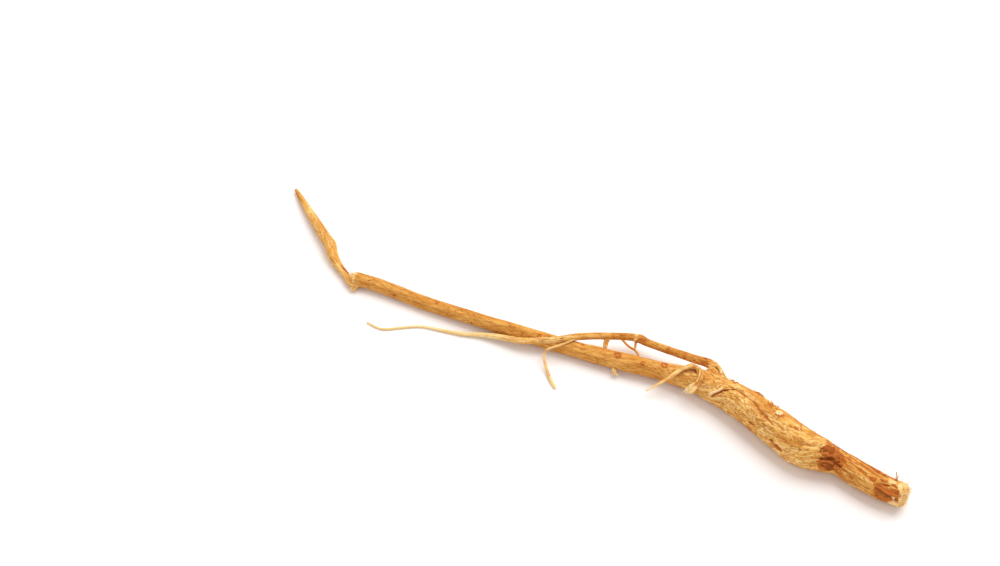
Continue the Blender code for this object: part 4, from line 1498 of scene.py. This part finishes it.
def hook_bark(ring, along, centre, angle, radius):
    reach, shift, (crack, ochre, rust, pale, dark, tan) = hook_plain(ring, along, centre, angle, radius)
    under = bell(turn_from(-90.0, angle) / HOLLOW_HALF)
    wider = HOOK_WIDER * smooth_step(*HOOK_WIDENS, centre.x)
    wide = 1.0 + wider * math.cos(angle) ** 2 - HOOK_FLATTER * math.sin(angle) ** 2
    # Painted shade in the hollow underside, through the crack and rust marks.
    marks = (max(crack, HOLLOW_SHADE_BROWN * under), ochre, max(rust, HOLLOW_SHADE_RUST * under), pale, dark, tan)
    return reach * wide * (1.0 - HOLLOW_DEPTH * under), shift, marks


hook_line = rounded(smooth_line(HOOKED_ROOTLET, HOOK_GAP))
hook_frames = arch_frames(hook_line, HOOK_CENTRE)
as_bark(roll_tube("hooked_rootlet", hook_line, hook_frames, HOOK_SIDES, hook_bark, BARK_MARKS), pale_bark)

# Flag of torn bark
# A strip of bark peeled off with the hooked rootlet. It is folded over the front and frays into pale strings.
BLEACHED = (0.97, 0.86, 0.58, 1.0)
FLAG_FRAY = 52
FLAG_FINGERS = 4
# The start and the tip of a string: how far apart in x and in y, how high, and how far along the fall.
FLAG_STRING_ENDS = ((2.6, 0.3, 0.1, (0.0, -1.1)), (3.9, 0.6, 0.0, (0.2, 1.3)))
FLAG_STRING_SCATTER = ((-0.25, 0.25), (-0.2, 0.2), (-0.2, 0.5))
FLAG_STRING_RADII = (0.06, 0.15)
FLAG_STRING_TAPER = 0.5
FLAG_TIP = Vector((51.5, -2.4, 7.1))
FLAG_FALL = Vector((-0.30, -0.75, -0.60))
FLAG_RIBBON = (
    (51.6, 6.9, 10.8, 0.60),
    (52.9, 5.4, 11.1, 0.80),
    (53.6, 3.4, 10.8, 0.90),
    (53.6, 1.4, 10.1, 1.00),
    (53.0, -0.2, 9.2, 1.25),
    (52.1, -1.4, 8.3, 1.60),
    (51.5, -2.2, 7.6, 1.80),
)
FLAG_RIBBON_GAP = 0.20
FLAG_RIBBON_SIDES = 40
FLAG_RIBBON_CENTRE = Vector((54.0, 2.0, 3.0))
FLAG_THICKNESS = (0.26, 0.10)
FLAG_PLEAT = 0.45
FLAG_PLEAT_SIZE = (3.5, 0.38)
FLAG_TEAR = 2.2
FLAG_TEAR_SPAN = (0.6, 1.0)
FLAG_TEAR_WAY = Vector((-0.3, -0.8, -0.6))
FLAG_TEAR_WIDTH = 0.42
FLAG_PALE_SPAN = (0.50, 0.90)
FLAG_SHADE_SPAN = (0.05, 0.30)
# How tan and how pale the ribbon is where it starts, how much paler its end is, and how much painted shade in
# its folds takes from that.
FLAG_TAN, FLAG_PALE, FLAG_BLEACH, FLAG_SHADED = 0.45, 0.12, 0.62, 0.35
# How much painted shade darkens its folds through the crack, ochre and rust marks, and how rusty its tan is.
FLAG_FOLD_SHADE = (0.8, 0.2, 0.1)
FLAG_TAN_RUST = 0.2


def flag_bark(ring, along, centre, angle, radius):
    across = radius * math.cos(angle)
    share = ring / flag_rings
    thickness = FLAG_THICKNESS[0] + (FLAG_THICKNESS[1] - FLAG_THICKNESS[0]) * share
    reach = radius / math.hypot(math.cos(angle), math.sin(angle) / thickness)
    pleat = noise.noise(Vector((along / FLAG_PLEAT_SIZE[0], across / FLAG_PLEAT_SIZE[1], 2.0)))
    torn = FLAG_TEAR * smooth_step(*FLAG_TEAR_SPAN, share)
    torn *= noise.noise(Vector((across / FLAG_TEAR_WIDTH, 7.0, 0.0)))
    shift = FLAG_TEAR_WAY * torn + Vector((0.0, 0.0, FLAG_PLEAT * pleat * min(1.0, radius)))
    # Painted shade in the folds of the pleats: less pale there, and darker through the crack, ochre and rust
    # marks.
    shade = smooth_step(*FLAG_SHADE_SPAN, -pleat)
    bleached = smooth_step(*FLAG_PALE_SPAN, share)
    tan = FLAG_TAN * (1.0 - bleached)
    pale = FLAG_PALE + FLAG_BLEACH * bleached * (1.0 - FLAG_SHADED * shade)
    crack, ochre, rust = [amount * shade for amount in FLAG_FOLD_SHADE]
    return reach, shift, (crack, ochre, rust + FLAG_TAN_RUST * tan, pale, 0.0, tan)


flag_line = rounded(smooth_line(FLAG_RIBBON, FLAG_RIBBON_GAP))
flag_rings = len(flag_line) - 1
flag_frames = arch_frames(flag_line, FLAG_RIBBON_CENTRE)
as_bark(roll_tube("flag_ribbon", flag_line, flag_frames, FLAG_RIBBON_SIDES, flag_bark, BARK_MARKS), pale_bark)

flag = []
for i in range(FLAG_FRAY):
    spread = (i % FLAG_FINGERS + 0.5) / FLAG_FINGERS - 0.5
    start, tip = [
        FLAG_TIP + Vector((wide * spread, deep * abs(spread), high)) + FLAG_FALL * chance.uniform(*fall)
        for wide, deep, high, fall in FLAG_STRING_ENDS
    ]
    tip += scatter(*FLAG_STRING_SCATTER)
    radius = chance.uniform(*FLAG_STRING_RADII)
    flag.append(curved(start, (start + tip) / 2, tip, radius, radius * FLAG_STRING_TAPER))
strands("flag_of_bark", flag, fibre_material("bleached_fibre", BLEACHED, BROKEN_BARK))
